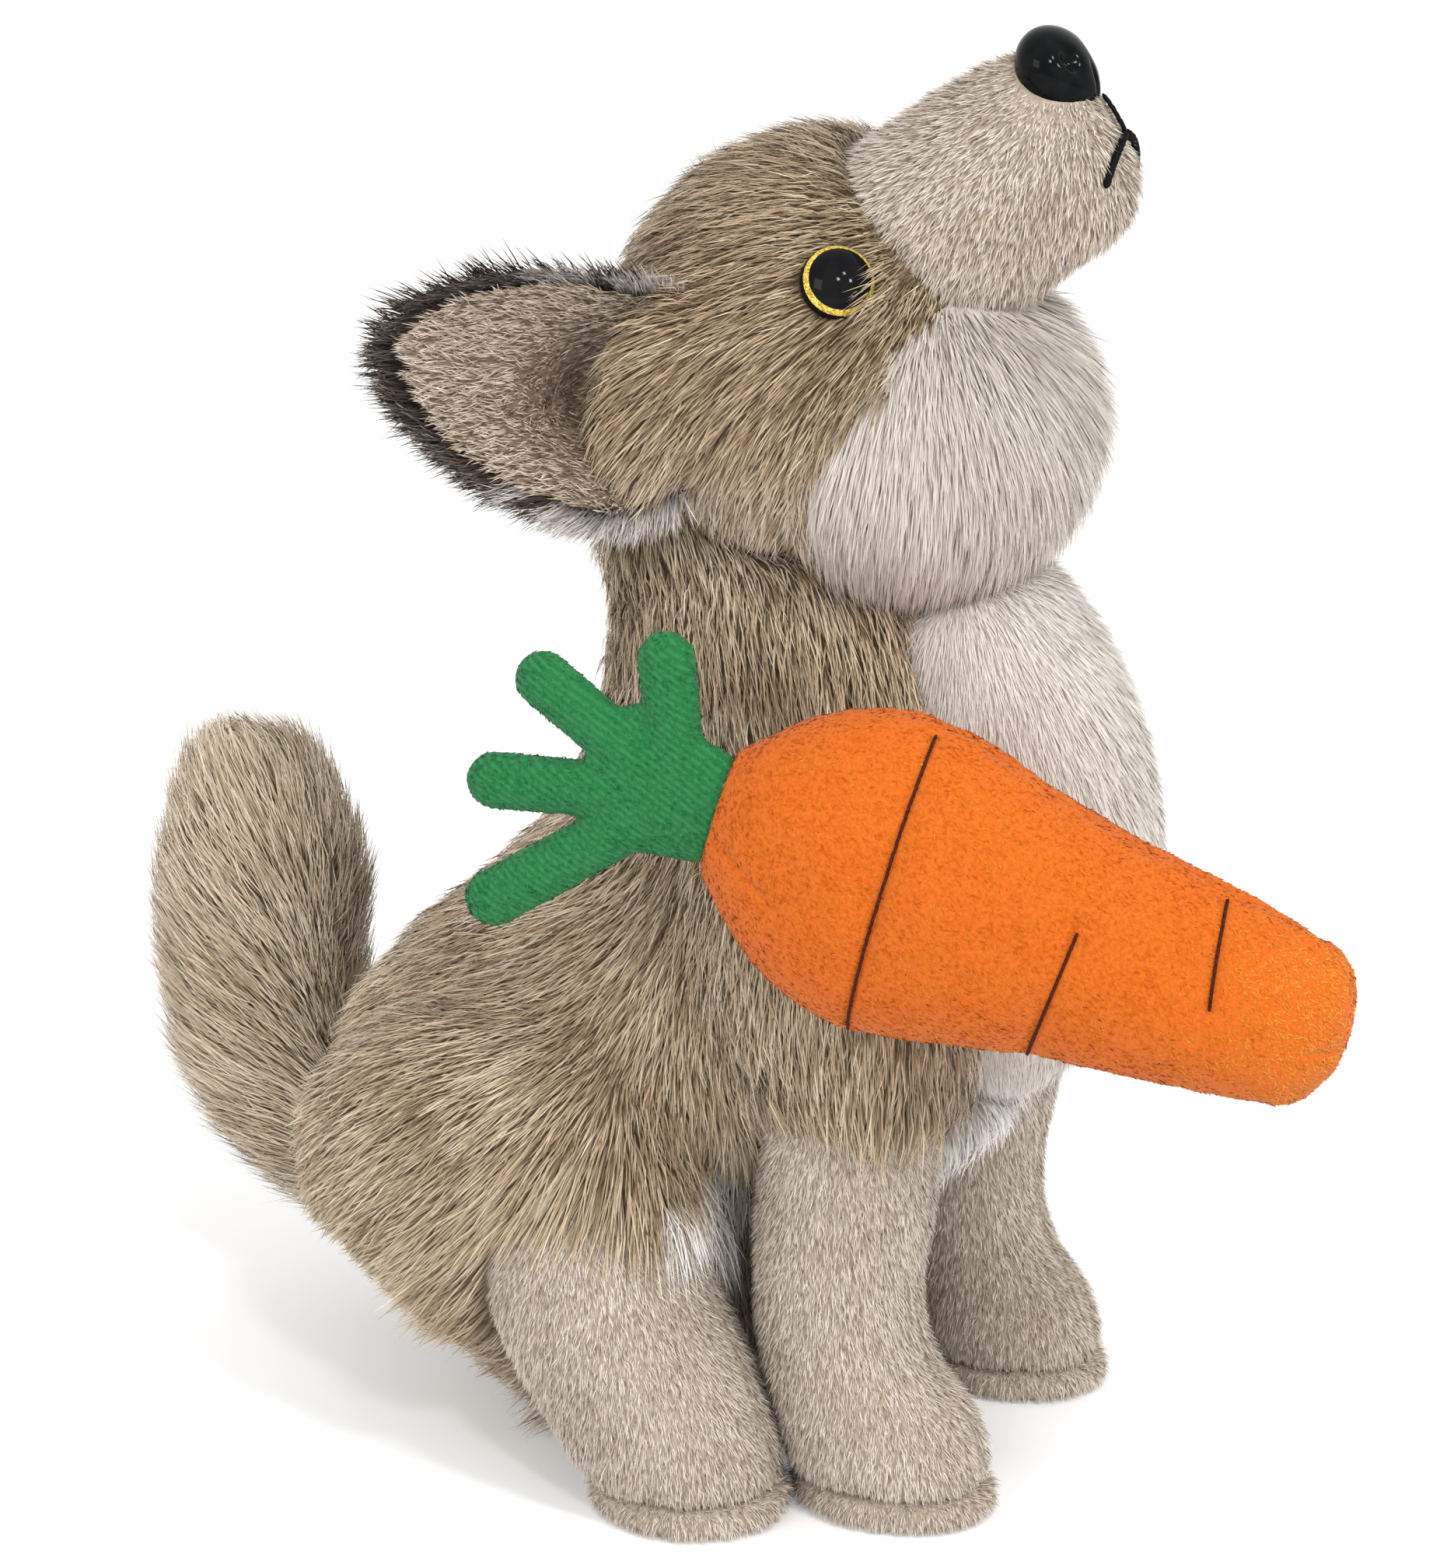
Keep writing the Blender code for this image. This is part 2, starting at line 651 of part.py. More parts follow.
def build_carrot(root, finishes):
    """The stuffed carrot, its leaves and its three stitched lines."""
    along, across, outward = carrot_axes()
    joint = Vector((CARROT_JOINT_X, CARROT_JOINT_Y, CARROT_JOINT_Z))
    rings = []
    for share, half_width, half_thickness in refine(CARROT_PROFILE):
        centre = joint + along * (share * CARROT_LENGTH)
        section = (centre, across, outward, half_width, half_thickness, CARROT_SIDES)
        rings.append(section_ring(*section))
    rings.extend(cap_rings(section, along * (CARROT_LENGTH * (1.0 - share))))
    shape = skin(rings)
    tree = BVHTree.FromBMesh(shape)
    body = place_object("carrot_body", shape, finishes["orange"], root)
    leaves = build_leaves(joint, carrot_axes(), root, finishes["green"])
    for name, share, start, end, lean in CARROT_STITCHES:
        stitch_line(name, (joint, along, across, outward), tree, (share, start, end, lean), root, finishes)
    return body, leaves


def stitch_line(name, axes, tree, line, root, finishes):
    """One stitched line over the outer face of the carrot."""
    joint, along, across, outward = axes
    share, start, end, lean = line
    half_width = carrot_half_width(share)
    first_turn = math.radians(start)
    last_turn = math.radians(end)
    points = []
    for step in range(STITCH_STEPS + 1):
        place = math.sin(first_turn + (last_turn - first_turn) * step / STITCH_STEPS)
        shift = CARROT_LENGTH * (share + lean * place)
        spot = joint + along * shift + across * (half_width * place) + outward * STITCH_AIM_DISTANCE
        hit, normal, _, _ = tree.ray_cast(spot, -outward)
        points.append(hit + normal * (STITCH_RADIUS + STITCH_GAP))
    place_object(name, thread_tube(points, STITCH_RADIUS), finishes["stitch"], root)


def carrot_half_width(share):
    """Half width of the carrot at a share of its length."""
    for (low, wide, _), (high, narrow, _) in zip(CARROT_PROFILE, CARROT_PROFILE[1:]):
        if share <= high:
            return wide + (narrow - wide) * (share - low) / (high - low)
    return CARROT_PROFILE[-1][1]


def build_leaves(joint, axes, root, finish):
    """A flat palm that splits into four round-ended fingers."""
    along, across, outward = axes
    base = joint - along * LEAF_JOINT_GAP
    root_half_width = CARROT_PROFILE[0][1]
    rings = []
    for share, wide, thick in LEAF_PALM_ROWS:
        centre = base - along * (LEAF_PALM_LENGTH * share)
        half_width = root_half_width + (LEAF_PALM_HALF_WIDTH - root_half_width) * share
        section = (centre, across, outward, half_width * wide, LEAF_HALF_THICKNESS * thick, FORM_SIDES)
        rings.append(section_ring(*section))
    rings.extend(cap_rings(section, -along * (LEAF_PALM_CAP_SHARE * LEAF_PALM_LENGTH)))
    palm = place_object("carrot_leaves", skin(rings), finish, root)
    for index, (length, angle) in enumerate(LEAF_FINGERS):
        turn = math.radians(angle)
        pointing = -along * math.cos(turn) + across * math.sin(turn)
        sideways = along * math.sin(turn) + across * math.cos(turn)
        start = base - along * (LEAF_FINGER_START * LEAF_PALM_LENGTH)
        thickness = LEAF_HALF_THICKNESS * (1.0 - LEAF_FINGER_THINNING * (index + 1))
        rings = finger_rings(start, (pointing, sideways, outward), length, thickness)
        finger_mesh = bpy.data.meshes.new("leaf_finger")
        finger = skin(rings)
        finger.to_mesh(finger_mesh)
        finger.free()
        cutter = hide_cutter("leaf_finger_" + str(index + 1), finger_mesh, root)
        join = palm.modifiers.new("finger_" + str(index + 1), "BOOLEAN")
        join.operation = "UNION"
        join.solver = "EXACT"
        join.object = cutter
    return palm


def finger_rings(start, axes, length, thickness):
    """Sections of one finger of the leaves."""
    pointing, sideways, outward = axes
    tip = LEAF_FINGER_HALF_WIDTH
    rings = []
    for share, wide in LEAF_FINGER_ROWS:
        centre = start + pointing * ((length - tip) * share)
        half_width = LEAF_FINGER_HALF_WIDTH * wide
        rings.append(section_ring(centre, sideways, outward, half_width, thickness, FINGER_SIDES, 0.5))
    for angle in CAP_ANGLES:
        turn = math.radians(angle)
        moved = centre + pointing * (tip * math.sin(turn))
        wide = half_width * math.cos(turn)
        thin = thickness * math.cos(turn)
        rings.append(section_ring(moved, sideways, outward, wide, thin, FINGER_SIDES, 0.5))
    return rings


def shift_to_origin(root, pieces):
    """Move the model so that the middle of its outer box, on the floor, is the origin."""
    bpy.context.view_layer.update()
    graph = bpy.context.evaluated_depsgraph_get()
    spots = []
    for piece in pieces:
        shown = piece.evaluated_get(graph)
        spots.extend(shown.matrix_world @ Vector(corner) for corner in shown.bound_box)
    middle_x = 0.5 * (min(spot.x for spot in spots) + max(spot.x for spot in spots))
    middle_y = 0.5 * (min(spot.y for spot in spots) + max(spot.y for spot in spots))
    root.location = (-middle_x, -middle_y, 0.0)
    bpy.context.view_layer.update()


def build():
    """Build every piece and make room between neighbours."""
    clear_scene()
    root = bpy.data.objects.new("wolf", None)
    bpy.context.scene.collection.objects.link(root)
    finishes = {
        "brown": make_material("brown_pile", (0.376, 0.296, 0.195), 0.95),
        "dark": make_material("dark_pile", (0.065, 0.042, 0.030), 0.95),
        "cream": make_material("cream_pile", (0.730, 0.658, 0.591), 0.95),
        "chest": make_material("chest_pile", (0.672, 0.617, 0.565), 0.95),
        "white": make_material("white_pile", (0.780, 0.760, 0.730), 0.95),
        "beige": make_material("beige_pile", (0.552, 0.456, 0.352), 0.95),
        "black": make_material("black_gloss", (0.006, 0.007, 0.008), 0.15),
        "eye": make_material("eye_gloss", (0.010, 0.008, 0.006), 0.05),
        "thread": make_material("black_thread", (0.008, 0.008, 0.009), 0.6),
        "orange": make_material("orange_velour", (0.956, 0.205, 0.017), 0.9),
        "green": make_material("green_fleece", (0.026, 0.301, 0.091), 0.9),
        "stitch": make_material("dark_stitch", (0.061, 0.013, 0.010), 0.7),
    }
    head, ruff, muzzle, nose, eyes = build_head(root, finishes)
    ears = [panel for hand in (-1, 1) for panel in build_ear(hand, root, finishes)]
    torso = place_object("torso", level_form(TORSO_SECTIONS, TORSO_TOP_CAP), finishes["brown"], root)
    chest_form = stuffed_form(CHEST_SPINE, CHEST_TOP_CAP, CHEST_LOW_CAP)
    chest = place_object("chest", chest_form, finishes["chest"], root)
    belly_form = stuffed_form(BELLY_SPINE, BELLY_CAP, BELLY_CAP)
    belly = place_object("belly", belly_form, finishes["white"], root)
    tail_form = stuffed_form(TAIL_SPINE, TAIL_ROOT_CAP, TAIL_TIP_CAP)
    tail = place_object("tail", tail_form, finishes["brown"], root)
    stems = ("haunch", "hind_leg", "hind_sole", "sleeve", "front_leg", "front_sole")
    limbs = {stem: [] for stem in stems}
    plans = (
        ("haunch", HAUNCH_SPINE, HAUNCH_BACK_CAP, HAUNCH_FRONT_CAP, "brown"),
        ("hind_leg", HIND_LEG_SPINE, LIMB_ROOT_CAP, LIMB_LOW_CAP, "beige"),
        ("sleeve", SLEEVE_SPINE, SLEEVE_TOP_CAP, SLEEVE_LOW_CAP, "brown"),
        ("front_leg", FRONT_LEG_SPINE, LIMB_ROOT_CAP, LIMB_LOW_CAP, "beige"),
    )
    for hand in (-1, 1):
        for stem, spine, start_cap, end_cap, finish in plans:
            form = stuffed_form(mirrored(spine, hand), start_cap, end_cap)
            limbs[stem].append(place_object(side_name(stem, hand), form, finishes[finish], root))
        limbs["hind_sole"].append(build_sole("hind_sole", hand, HIND_LEG_SPINE, root, finishes["beige"]))
        limbs["front_sole"].append(build_sole("front_sole", hand, FRONT_LEG_SPINE, root, finishes["beige"]))
    carrot, leaves = build_carrot(root, finishes)
    make_room(head, ruff, muzzle, nose, eyes, ears, torso, chest, belly, tail, limbs, carrot, leaves, root)
    pieces = [item for item in root.children if item.type == "MESH" and not item.hide_render]
    shift_to_origin(root, pieces)


def make_room(head, ruff, muzzle, nose, eyes, ears, torso, chest, belly, tail, limbs, carrot, leaves, root):
    """Cut each piece by the grown forms of the neighbours that lie over it."""
    sources = [head, ruff, muzzle, nose, *eyes, torso, chest, *limbs["haunch"], *limbs["hind_leg"]]
    sources += [*limbs["sleeve"], *limbs["front_leg"], *limbs["front_sole"], belly, carrot]
    grown = {item.name: grown_cutter("cut_" + item.name, item, CLEARANCE) for item in sources}

    def room(piece, neighbours):
        carve(piece, [grown[item.name] for item in neighbours])

    haunches = limbs["haunch"]
    sleeves = limbs["sleeve"]
    front_legs = limbs["front_leg"]
    hind_legs = limbs["hind_leg"]
    room(muzzle, [nose])
    room(ruff, [muzzle])
    room(head, [muzzle, ruff, *eyes])
    for panel in ears:
        room(panel, [head])
    room(chest, [head, ruff, *sleeves])
    room(torso, [*sleeves, *haunches, *front_legs, *hind_legs, head, ruff, belly, chest])
    room(belly, [chest, *sleeves, *haunches, *front_legs, *hind_legs])
    room(tail, [torso, *haunches])
    slab = floor_slab(root)
    for sleeve, haunch in zip(sleeves, haunches):
        room(haunch, [sleeve])
    for leg, sleeve in zip(front_legs, sleeves):
        room(leg, [sleeve, chest])
        carve(leg, [slab])
    for leg, haunch, front_leg in zip(hind_legs, haunches, front_legs):
        room(leg, [haunch, front_leg])
        carve(leg, [slab])
    for sole, front_sole in zip(limbs["hind_sole"], limbs["front_sole"]):
        room(sole, [front_sole])
    room(carrot, [torso, chest, ruff, sleeves[0]])
    room(leaves, [carrot, torso])


build()
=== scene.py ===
"""Dress the plush wolf: pile fabric on every stuffed form, moulded eyes and nose, and the stuffed carrot.

Every form is worked out with numpy in the toy's own coordinates (the wolf looks along -Y, its right side
is at -X, and it sits on z = 0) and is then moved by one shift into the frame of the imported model.
Pile is made of tapering blades that are rooted on the fabric and combed by a field of directions.
"""

import logging
import math
from dataclasses import dataclass, field, replace
from enum import Enum
from functools import partial
from typing import Callable, Sequence

import bpy
import numpy as np
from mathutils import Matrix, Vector


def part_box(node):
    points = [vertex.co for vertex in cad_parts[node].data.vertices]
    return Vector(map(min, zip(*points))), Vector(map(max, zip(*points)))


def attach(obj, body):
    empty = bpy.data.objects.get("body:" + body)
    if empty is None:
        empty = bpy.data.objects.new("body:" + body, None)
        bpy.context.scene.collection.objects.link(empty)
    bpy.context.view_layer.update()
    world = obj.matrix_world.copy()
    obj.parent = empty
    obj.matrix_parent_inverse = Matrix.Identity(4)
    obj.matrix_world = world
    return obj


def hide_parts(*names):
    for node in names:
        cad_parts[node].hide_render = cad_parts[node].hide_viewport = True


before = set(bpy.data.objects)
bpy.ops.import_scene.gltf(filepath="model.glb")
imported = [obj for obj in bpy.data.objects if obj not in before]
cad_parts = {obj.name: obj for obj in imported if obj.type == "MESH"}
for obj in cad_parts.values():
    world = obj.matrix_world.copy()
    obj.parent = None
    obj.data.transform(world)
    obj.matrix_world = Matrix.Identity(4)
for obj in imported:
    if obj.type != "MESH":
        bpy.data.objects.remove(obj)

logger = logging.getLogger("plush_wolf")

Array = np.ndarray
Rows = tuple[tuple[float, ...], ...]
Colours = tuple[tuple[float, float, float], ...]
PILE_UV = "OFBake"
BLADES_PER_PIECE = 66000
CLOTH_SCALE = 20.0
CLOTH_PRESSURE = 20.0
CLOTH_FRAMES = 20
SIDEWAYS = np.array([1.0, 0.0, 0.0])
DOWN = np.array([0.0, 0.0, -1.0])


class Hand(Enum):
    """The two sides of the wolf."""

    RIGHT = -1
    LEFT = 1

    @property
    def node_end(self) -> str:
        """The ending of the names of this side's nodes."""
        return "right" if self is Hand.RIGHT else "left"


class Blade(Enum):
    """How a strand of pile is built: short ones are one triangle, long ones bend once."""

    SHORT = 1
    LONG = 2


# Small helpers on arrays


def unit(vectors: Array) -> Array:
    """Each row divided by its own length.

    Args:
        vectors: rows of three numbers, or one such row.

    Returns:
        The rows at length one.
    """
    size = np.linalg.norm(vectors, axis=-1, keepdims=True)
    return vectors / np.maximum(size, 1e-12)


def around(count: int) -> Array:
    """Evenly spaced angles once round a circle, without the last that would repeat the first."""
    return np.linspace(0.0, 2.0 * math.pi, count, endpoint=False)


def numbers(items: bpy.types.bpy_prop_collection, name: str, width: int = 1) -> Array:
    """One property of all items of a mesh: rows of numbers, or plain whole numbers at width one.

    Args:
        items: the points, corners or faces.
        name: name of the property.
        width: numbers in each row.

    Returns:
        The numbers as an array.
    """
    values = np.empty(len(items) * width, dtype=np.int32 if name == "vertex_index" else np.float32)
    items.foreach_get(name, values)
    return values.reshape(-1, width) if width > 1 else values


def ease(values: Array, low: float, high: float) -> Array:
    """A smooth step from 0 at low to 1 at high: the cubic 3t^2 - 2t^3 of the clipped share t.

    Args:
        values: numbers to place on the step.
        low: where the step starts.
        high: where it ends.

    Returns:
        Numbers from 0 to 1.
    """
    share = np.clip((values - low) / (high - low), 0.0, 1.0)
    return share * share * (3.0 - 2.0 * share)


def ripple(points: Array, length: float, seed: int) -> Array:
    """Smooth noise: the mean of ten sine waves, each with its own random direction and phase.

    Args:
        points: rows of x, y, z in metres.
        length: the wavelength in metres.
        seed: picks the directions and phases.

    Returns:
        One number per row, mostly between -1 and 1.
    """
    rng = np.random.default_rng(seed)
    ways = unit(rng.normal(size=(10, 3))) * (2.0 * math.pi / length)
    ways *= rng.uniform(0.6, 1.5, size=(10, 1))
    phases = rng.uniform(0.0, 2.0 * math.pi, size=10)
    return np.sin(points @ ways.T + phases).mean(axis=1) * 2.2


def smooth_rows(rows: Rows, per_span: int) -> Array:
    """More rows on the same smooth curve: a Catmull-Rom spline through the rows.

    Args:
        rows: rows of numbers, such as x, y, z, half width and half depth.
        per_span: new rows for each old span.

    Returns:
        The finer rows, ends included.
    """
    table = np.array(rows, dtype=float)
    place = np.linspace(0.0, len(table) - 1.0, (len(table) - 1) * per_span + 1)
    span = np.minimum(place.astype(int), len(table) - 2)
    share = (place - span)[:, None]
    a = table[np.maximum(span - 1, 0)]
    b = table[span]
    c = table[span + 1]
    d = table[np.minimum(span + 2, len(table) - 1)]
    linear = (c - a) * share
    square = (2.0 * a - 5.0 * b + 4.0 * c - d) * share ** 2
    cube = (3.0 * b - a - 3.0 * c + d) * share ** 3
    return b + 0.5 * (linear + square + cube)


def mirror_rows(rows: Rows, hand: Hand) -> Rows:
    """The rows with their x on the asked side."""
    return tuple((row[0] * hand.value, *row[1:]) for row in rows)


# Surfaces as arrays


@dataclass
class Surface:
    """A mesh as arrays: points, triangles and quads by index, and one uv row per point where it has any."""

    points: Array
    faces: Array
    uv: Array | None = None

    @staticmethod
    def from_rings(rings: Array) -> "Surface":
        """A closed skin over rings of points: quads between rings, and a fan to the middle of each end.

        Args:
            rings: an array of ring, point and x, y, z.

        Returns:
            The surface, with each triangle written as a quad that repeats its last corner.
        """
        count, sides, _ = rings.shape
        body = rings.reshape(-1, 3)
        poles = np.stack([rings[0].mean(axis=0), rings[-1].mean(axis=0)])
        row = np.arange(count - 1)[:, None] * sides
        here = np.arange(sides)[None, :]
        there = (here + 1) % sides
        quads = np.stack([row + here, row + there, row + sides + there, row + sides + here], axis=-1)
        first = len(body)
        here, there = here[0], there[0]
        low = np.stack([there, here, np.full(sides, first), np.full(sides, first)], axis=-1)
        top = (count - 1) * sides
        last = np.full(sides, first + 1)
        high = np.stack([top + here, top + there, last, last], axis=-1)
        return Surface(np.concatenate([body, poles]), np.concatenate([quads.reshape(-1, 4), low, high]))


def thread_tube(path: Array, radius: float, plies: int = 3, turns_per_metre: float = 500.0) -> Surface:
    """A twisted thread along a path: the radius swells by a sine of plies times the angle plus the twist.

    Args:
        path: rows of x, y, z.
        radius: mean radius.
        plies: strands in the twist.
        turns_per_metre: how tightly they twist.

    Returns:
        The closed tube.
    """
    along = unit(np.gradient(path, axis=0))
    guide = np.array([0.0, 0.0, 1.0]) if abs(along[0, 2]) < 0.9 else np.array([1.0, 0.0, 0.0])
    side = unit(np.cross(along, guide))
    across = np.cross(along, side)
    walked = np.concatenate([[0.0], np.cumsum(np.linalg.norm(np.diff(path, axis=0), axis=1))])
    turn = around(12)
    swell = 1.0 + 0.16 * np.sin(plies * (turn[None, :] + 2.0 * math.pi * turns_per_metre * walked[:, None]))
    ends = np.minimum(1.0, np.minimum(walked, walked[-1] - walked) / (1.5 * radius) + 0.35)
    size = radius * swell * ends[:, None]
    rings = path[:, None, :] + side[:, None, :] * (size * np.cos(turn))[..., None]
    rings = rings + across[:, None, :] * (size * np.sin(turn))[..., None]
    return Surface.from_rings(rings)


def point_normals(surface: Surface) -> Array:
    """Outward normals of a surface in quads: the crossed diagonals of the faces round each point, summed.

    Args:
        surface: a closed surface in quads.

    Returns:
        One normal for each point.
    """
    corners = surface.points[surface.faces]
    across = np.cross(corners[:, 2] - corners[:, 0], corners[:, 3] - corners[:, 1])
    total = np.zeros_like(surface.points)
    np.add.at(total, surface.faces.ravel(), np.repeat(across, 4, axis=0))
    return unit(total)


@dataclass(frozen=True)
class Seams:
    """How a stuffed cloth is cut: distances from the nearest seam, and the sizes of the work."""

    gap: Callable[[Array], Array]
    voxel: float = 0.0020
    rounds: int = 6
    cap: float = 0.0010
    groove: float = 0.0006
    width: float = 0.0011
    subdivide: bool = False


def middle_seam(points: Array) -> Array:
    """Distance from the middle plane of the toy."""
    return np.abs(points[:, 0])


def corner_arrays(faces: Array) -> tuple[Array, Array]:
    """Corner indices and the size of each face, where a repeated last corner means a triangle.

    Args:
        faces: rows of four point indices.

    Returns:
        The corners in one row, and the number of corners of each face.
    """
    if faces.shape[1] == 3:
        return faces.ravel(), np.full(len(faces), 3)
    triangle = faces[:, 2] == faces[:, 3]
    sizes = np.where(triangle, 3, 4)
    keep = np.ones(faces.shape, dtype=bool)
    keep[triangle, 3] = False
    return faces[keep], sizes


def mesh_from(name: str, surface: Surface, shift: Array) -> bpy.types.Mesh:
    """A Blender mesh from arrays, moved by the shift.

    Args:
        name: name of the mesh.
        surface: points and faces in toy coordinates.
        shift: the step from toy coordinates to the frame.

    Returns:
        The smooth shaded mesh.
    """
    corners, sizes = corner_arrays(surface.faces)
    mesh = bpy.data.meshes.new(name)
    mesh.vertices.add(len(surface.points))
    mesh.vertices.foreach_set("co", (surface.points + shift).astype(np.float32).ravel())
    mesh.loops.add(len(corners))
    mesh.loops.foreach_set("vertex_index", corners.astype(np.int32))
    mesh.polygons.add(len(sizes))
    starts = np.concatenate([[0], np.cumsum(sizes)[:-1]])
    mesh.polygons.foreach_set("loop_start", starts.astype(np.int32))
    mesh.update(calc_edges=True)
    if surface.uv is not None:
        layer = mesh.uv_layers.new(name=PILE_UV)
        layer.data.foreach_set("uv", surface.uv[corners].astype(np.float32).ravel())
    mesh.shade_smooth()
    return mesh


def mesh_arrays(mesh: bpy.types.Mesh, shift: Array) -> tuple[Array, Array, Array]:
    """Points, triangles and point normals of a mesh, back in toy coordinates.

    Args:
        mesh: a Blender mesh.
        shift: the step that was added to its points.

    Returns:
        Points, triangles and normals.
    """
    mesh.calc_loop_triangles()
    triangles = np.empty(len(mesh.loop_triangles) * 3, dtype=np.int32)
    mesh.loop_triangles.foreach_get("vertices", triangles)
    normals = numbers(mesh.vertices, "normal", 3).astype(float)
    return numbers(mesh.vertices, "co", 3) - shift, triangles.reshape(-1, 3), normals


# Stuffed forms


class Form:
    """A closed stuffed form that can be skinned and can say which points lie inside it."""

    def surface(self, inset: float) -> Surface:
        """The skin, drawn in by the inset."""
        raise NotImplementedError

    def contains(self, points: Array, inset: float) -> Array:
        """True for each point inside the form drawn in by the inset."""
        raise NotImplementedError


@dataclass(frozen=True)
class Ball(Form):
    """A stretched ball: points at centre + radii * (sin a cos b, sin a sin b, cos a)."""

    centre: tuple[float, float, float]
    radii: tuple[float, float, float]
    segments: int = 64
    levels: int = 40

    def surface(self, inset: float) -> Surface:
        """The ball with each radius shorter by the inset.

        Args:
            inset: how far the form is drawn in, in metres.

        Returns:
            The closed skin.
        """
        down = np.linspace(0.0, math.pi, self.levels + 2)[1:-1][:, None]
        turn = around(self.segments)[None, :]
        flat = np.ones_like(turn)
        direction = np.stack(
            [np.sin(down) * np.cos(turn), np.sin(down) * np.sin(turn), np.cos(down) * flat], -1
        )
        rings = np.array(self.centre) + direction * (np.array(self.radii) - inset)
        return Surface.from_rings(rings[::-1])

    def contains(self, points: Array, inset: float) -> Array:
        """True where the stretched distance from the centre is under one."""
        offset = (points - np.array(self.centre)) / (np.array(self.radii) - inset)
        return np.linalg.norm(offset, axis=1) < 1.0


@dataclass(frozen=True)
class StuffedForm(Form):
    """Elliptical sections along a smooth middle line, with rounded ends.

    A section point is centre + side * half_width * cos t + across * half_depth * sin t, and over each end
    both half sizes shrink with cos a while the centre moves on by the cap's reach times sin a.
    """

    spine: Rows
    start_cap: float
    end_cap: float
    upright: bool = False
    sides: int = 56
    floor: float = -1.0

    def sections(self, inset: float) -> tuple[Array, Array, Array, Array]:
        """Centres, side directions, across directions and half sizes of all sections, caps included.

        Args:
            inset: how far the form is drawn in, in metres.

        Returns:
            The four arrays, one row for each section.
        """
        rows = smooth_rows(self.spine, 8)
        centre = rows[:, :3]
        if self.upright:
            along = np.tile([0.0, 0.0, 1.0], (len(rows), 1))
        else:
            along = unit(np.gradient(centre, axis=0))
        side = unit(SIDEWAYS - along * along[:, :1])
        across = np.cross(along, side)
        half = np.maximum(rows[:, 3:5] - inset, 0.0004)
        turns = np.radians(np.linspace(8.0, 84.0, 10))
        parts = []
        for end, reach in ((0, -max(self.start_cap - inset, 0.0)), (-1, max(self.end_cap - inset, 0.0))):
            lift = centre[end] + np.outer(np.sin(turns), along[end]) * reach
            size = np.outer(np.cos(turns), half[end])
            order = slice(None, None, -1) if end == 0 else slice(None)
            ways = [np.tile(way[end], (len(turns), 1)) for way in (side, across)]
            parts.append((lift[order], *ways, size[order]))
        start, stop = parts
        whole = [start[i] if self.start_cap > 0.0 else start[i][:0] for i in range(4)]
        middle = (centre, side, across, half)
        return tuple(np.concatenate([whole[i], middle[i], stop[i]]) for i in range(4))

    def surface(self, inset: float) -> Surface:
        """The skin over all sections, with points under the floor level lifted onto it.

        Args:
            inset: how far the form is drawn in, in metres.

        Returns:
            The closed skin.
        """
        centre, side, across, half = self.sections(inset)
        turn = around(self.sides)
        wide = side[:, None, :] * (half[:, None, :1] * np.cos(turn)[None, :, None])
        deep = across[:, None, :] * (half[:, None, 1:] * np.sin(turn)[None, :, None])
        rings = centre[:, None, :] + wide + deep
        surface = Surface.from_rings(rings)
        surface.points[:, 2] = np.maximum(surface.points[:, 2], self.floor)
        return surface

    def contains(self, points: Array, inset: float) -> Array:
        """True where a point is inside the ellipse of its nearest section and not past either end.

        Args:
            points: rows of x, y, z in toy coordinates.
            inset: how far the form is drawn in, in metres.

        Returns:
            One truth value for each point.
        """
        centre, side, across, half = self.sections(inset)
        gaps = (centre ** 2).sum(1)[None, :] - 2.0 * points @ centre.T
        near = gaps.argmin(axis=1)
        offset = points - centre[near]
        wide = (offset * side[near]).sum(1) / half[near, 0]
        deep = (offset * across[near]).sum(1) / half[near, 1]
        along = np.cross(side[near], across[near])
        past = np.abs((offset * along).sum(1)) > 0.0035
        return (wide ** 2 + deep ** 2 < 1.0) & ~past


Hidden = Sequence[tuple[Form, float]]
Comb = Callable[[Array, Array], Array]


def inside_any(points: Array, hidden: Hidden) -> Array:
    """True for each point that lies inside one of the forms, each drawn in by its own inset.

    Args:
        points: rows of x, y, z in toy coordinates.
        hidden: forms with their insets.

    Returns:
        One truth value for each point.
    """
    inside = np.zeros(len(points), dtype=bool)
    for form, inset in hidden:
        inside |= form.contains(points, inset)
    return inside


# Finishes


@dataclass(frozen=True)
class PileFinish:
    """The colours of a pile: body and tips from the dark to the light strands, and the painted shade that
    darkens the roots.
    """

    name: str
    slot: str
    body: Colours
    tips: Colours
    root_shade: float = 0.45
    tip_start: float = 0.55
    roughness: float = 0.85
    sheen: float = 0.15

    def material(self) -> bpy.types.Material:
        """The material of the blades: u of the own map picks the strand's tone, v runs from root to tip.

        Returns:
            The new material.
        """
        tree = NodeTree(self.name)
        place = tree.node("ShaderNodeUVMap", uv_map=PILE_UV)
        split = tree.node("ShaderNodeSeparateXYZ")
        tree.link(place, "UV", split, "Vector")
        body = tree.ramp(self.body)
        tips = tree.ramp(self.tips)
        tree.link(split, "X", body, "Fac")
        tree.link(split, "X", tips, "Fac")
        reach = tree.ramp(((0.0, 0.0, 0.0), (1.0, 1.0, 1.0)), (self.tip_start, 0.95))
        tree.link(split, "Y", reach, "Fac")
        # Painted shade: v darkens the roots towards root_shade, standing in for the shadow in the gaps
        # between the strands.
        shade_end = (1.0, 1.0, 1.0)
        shade = tree.ramp(((self.root_shade,) * 3, shade_end), (0.05, 0.55))
        tree.link(split, "Y", shade, "Fac")
        mixed = tree.mix("MIX", reach, body, tips)
        shaded = tree.mix("MULTIPLY", None, mixed, shade)
        tree.link(shaded, "Color", tree.shader, "Base Color")
        tree.surface(self.roughness, 0.15, self.sheen)
        return tree.material


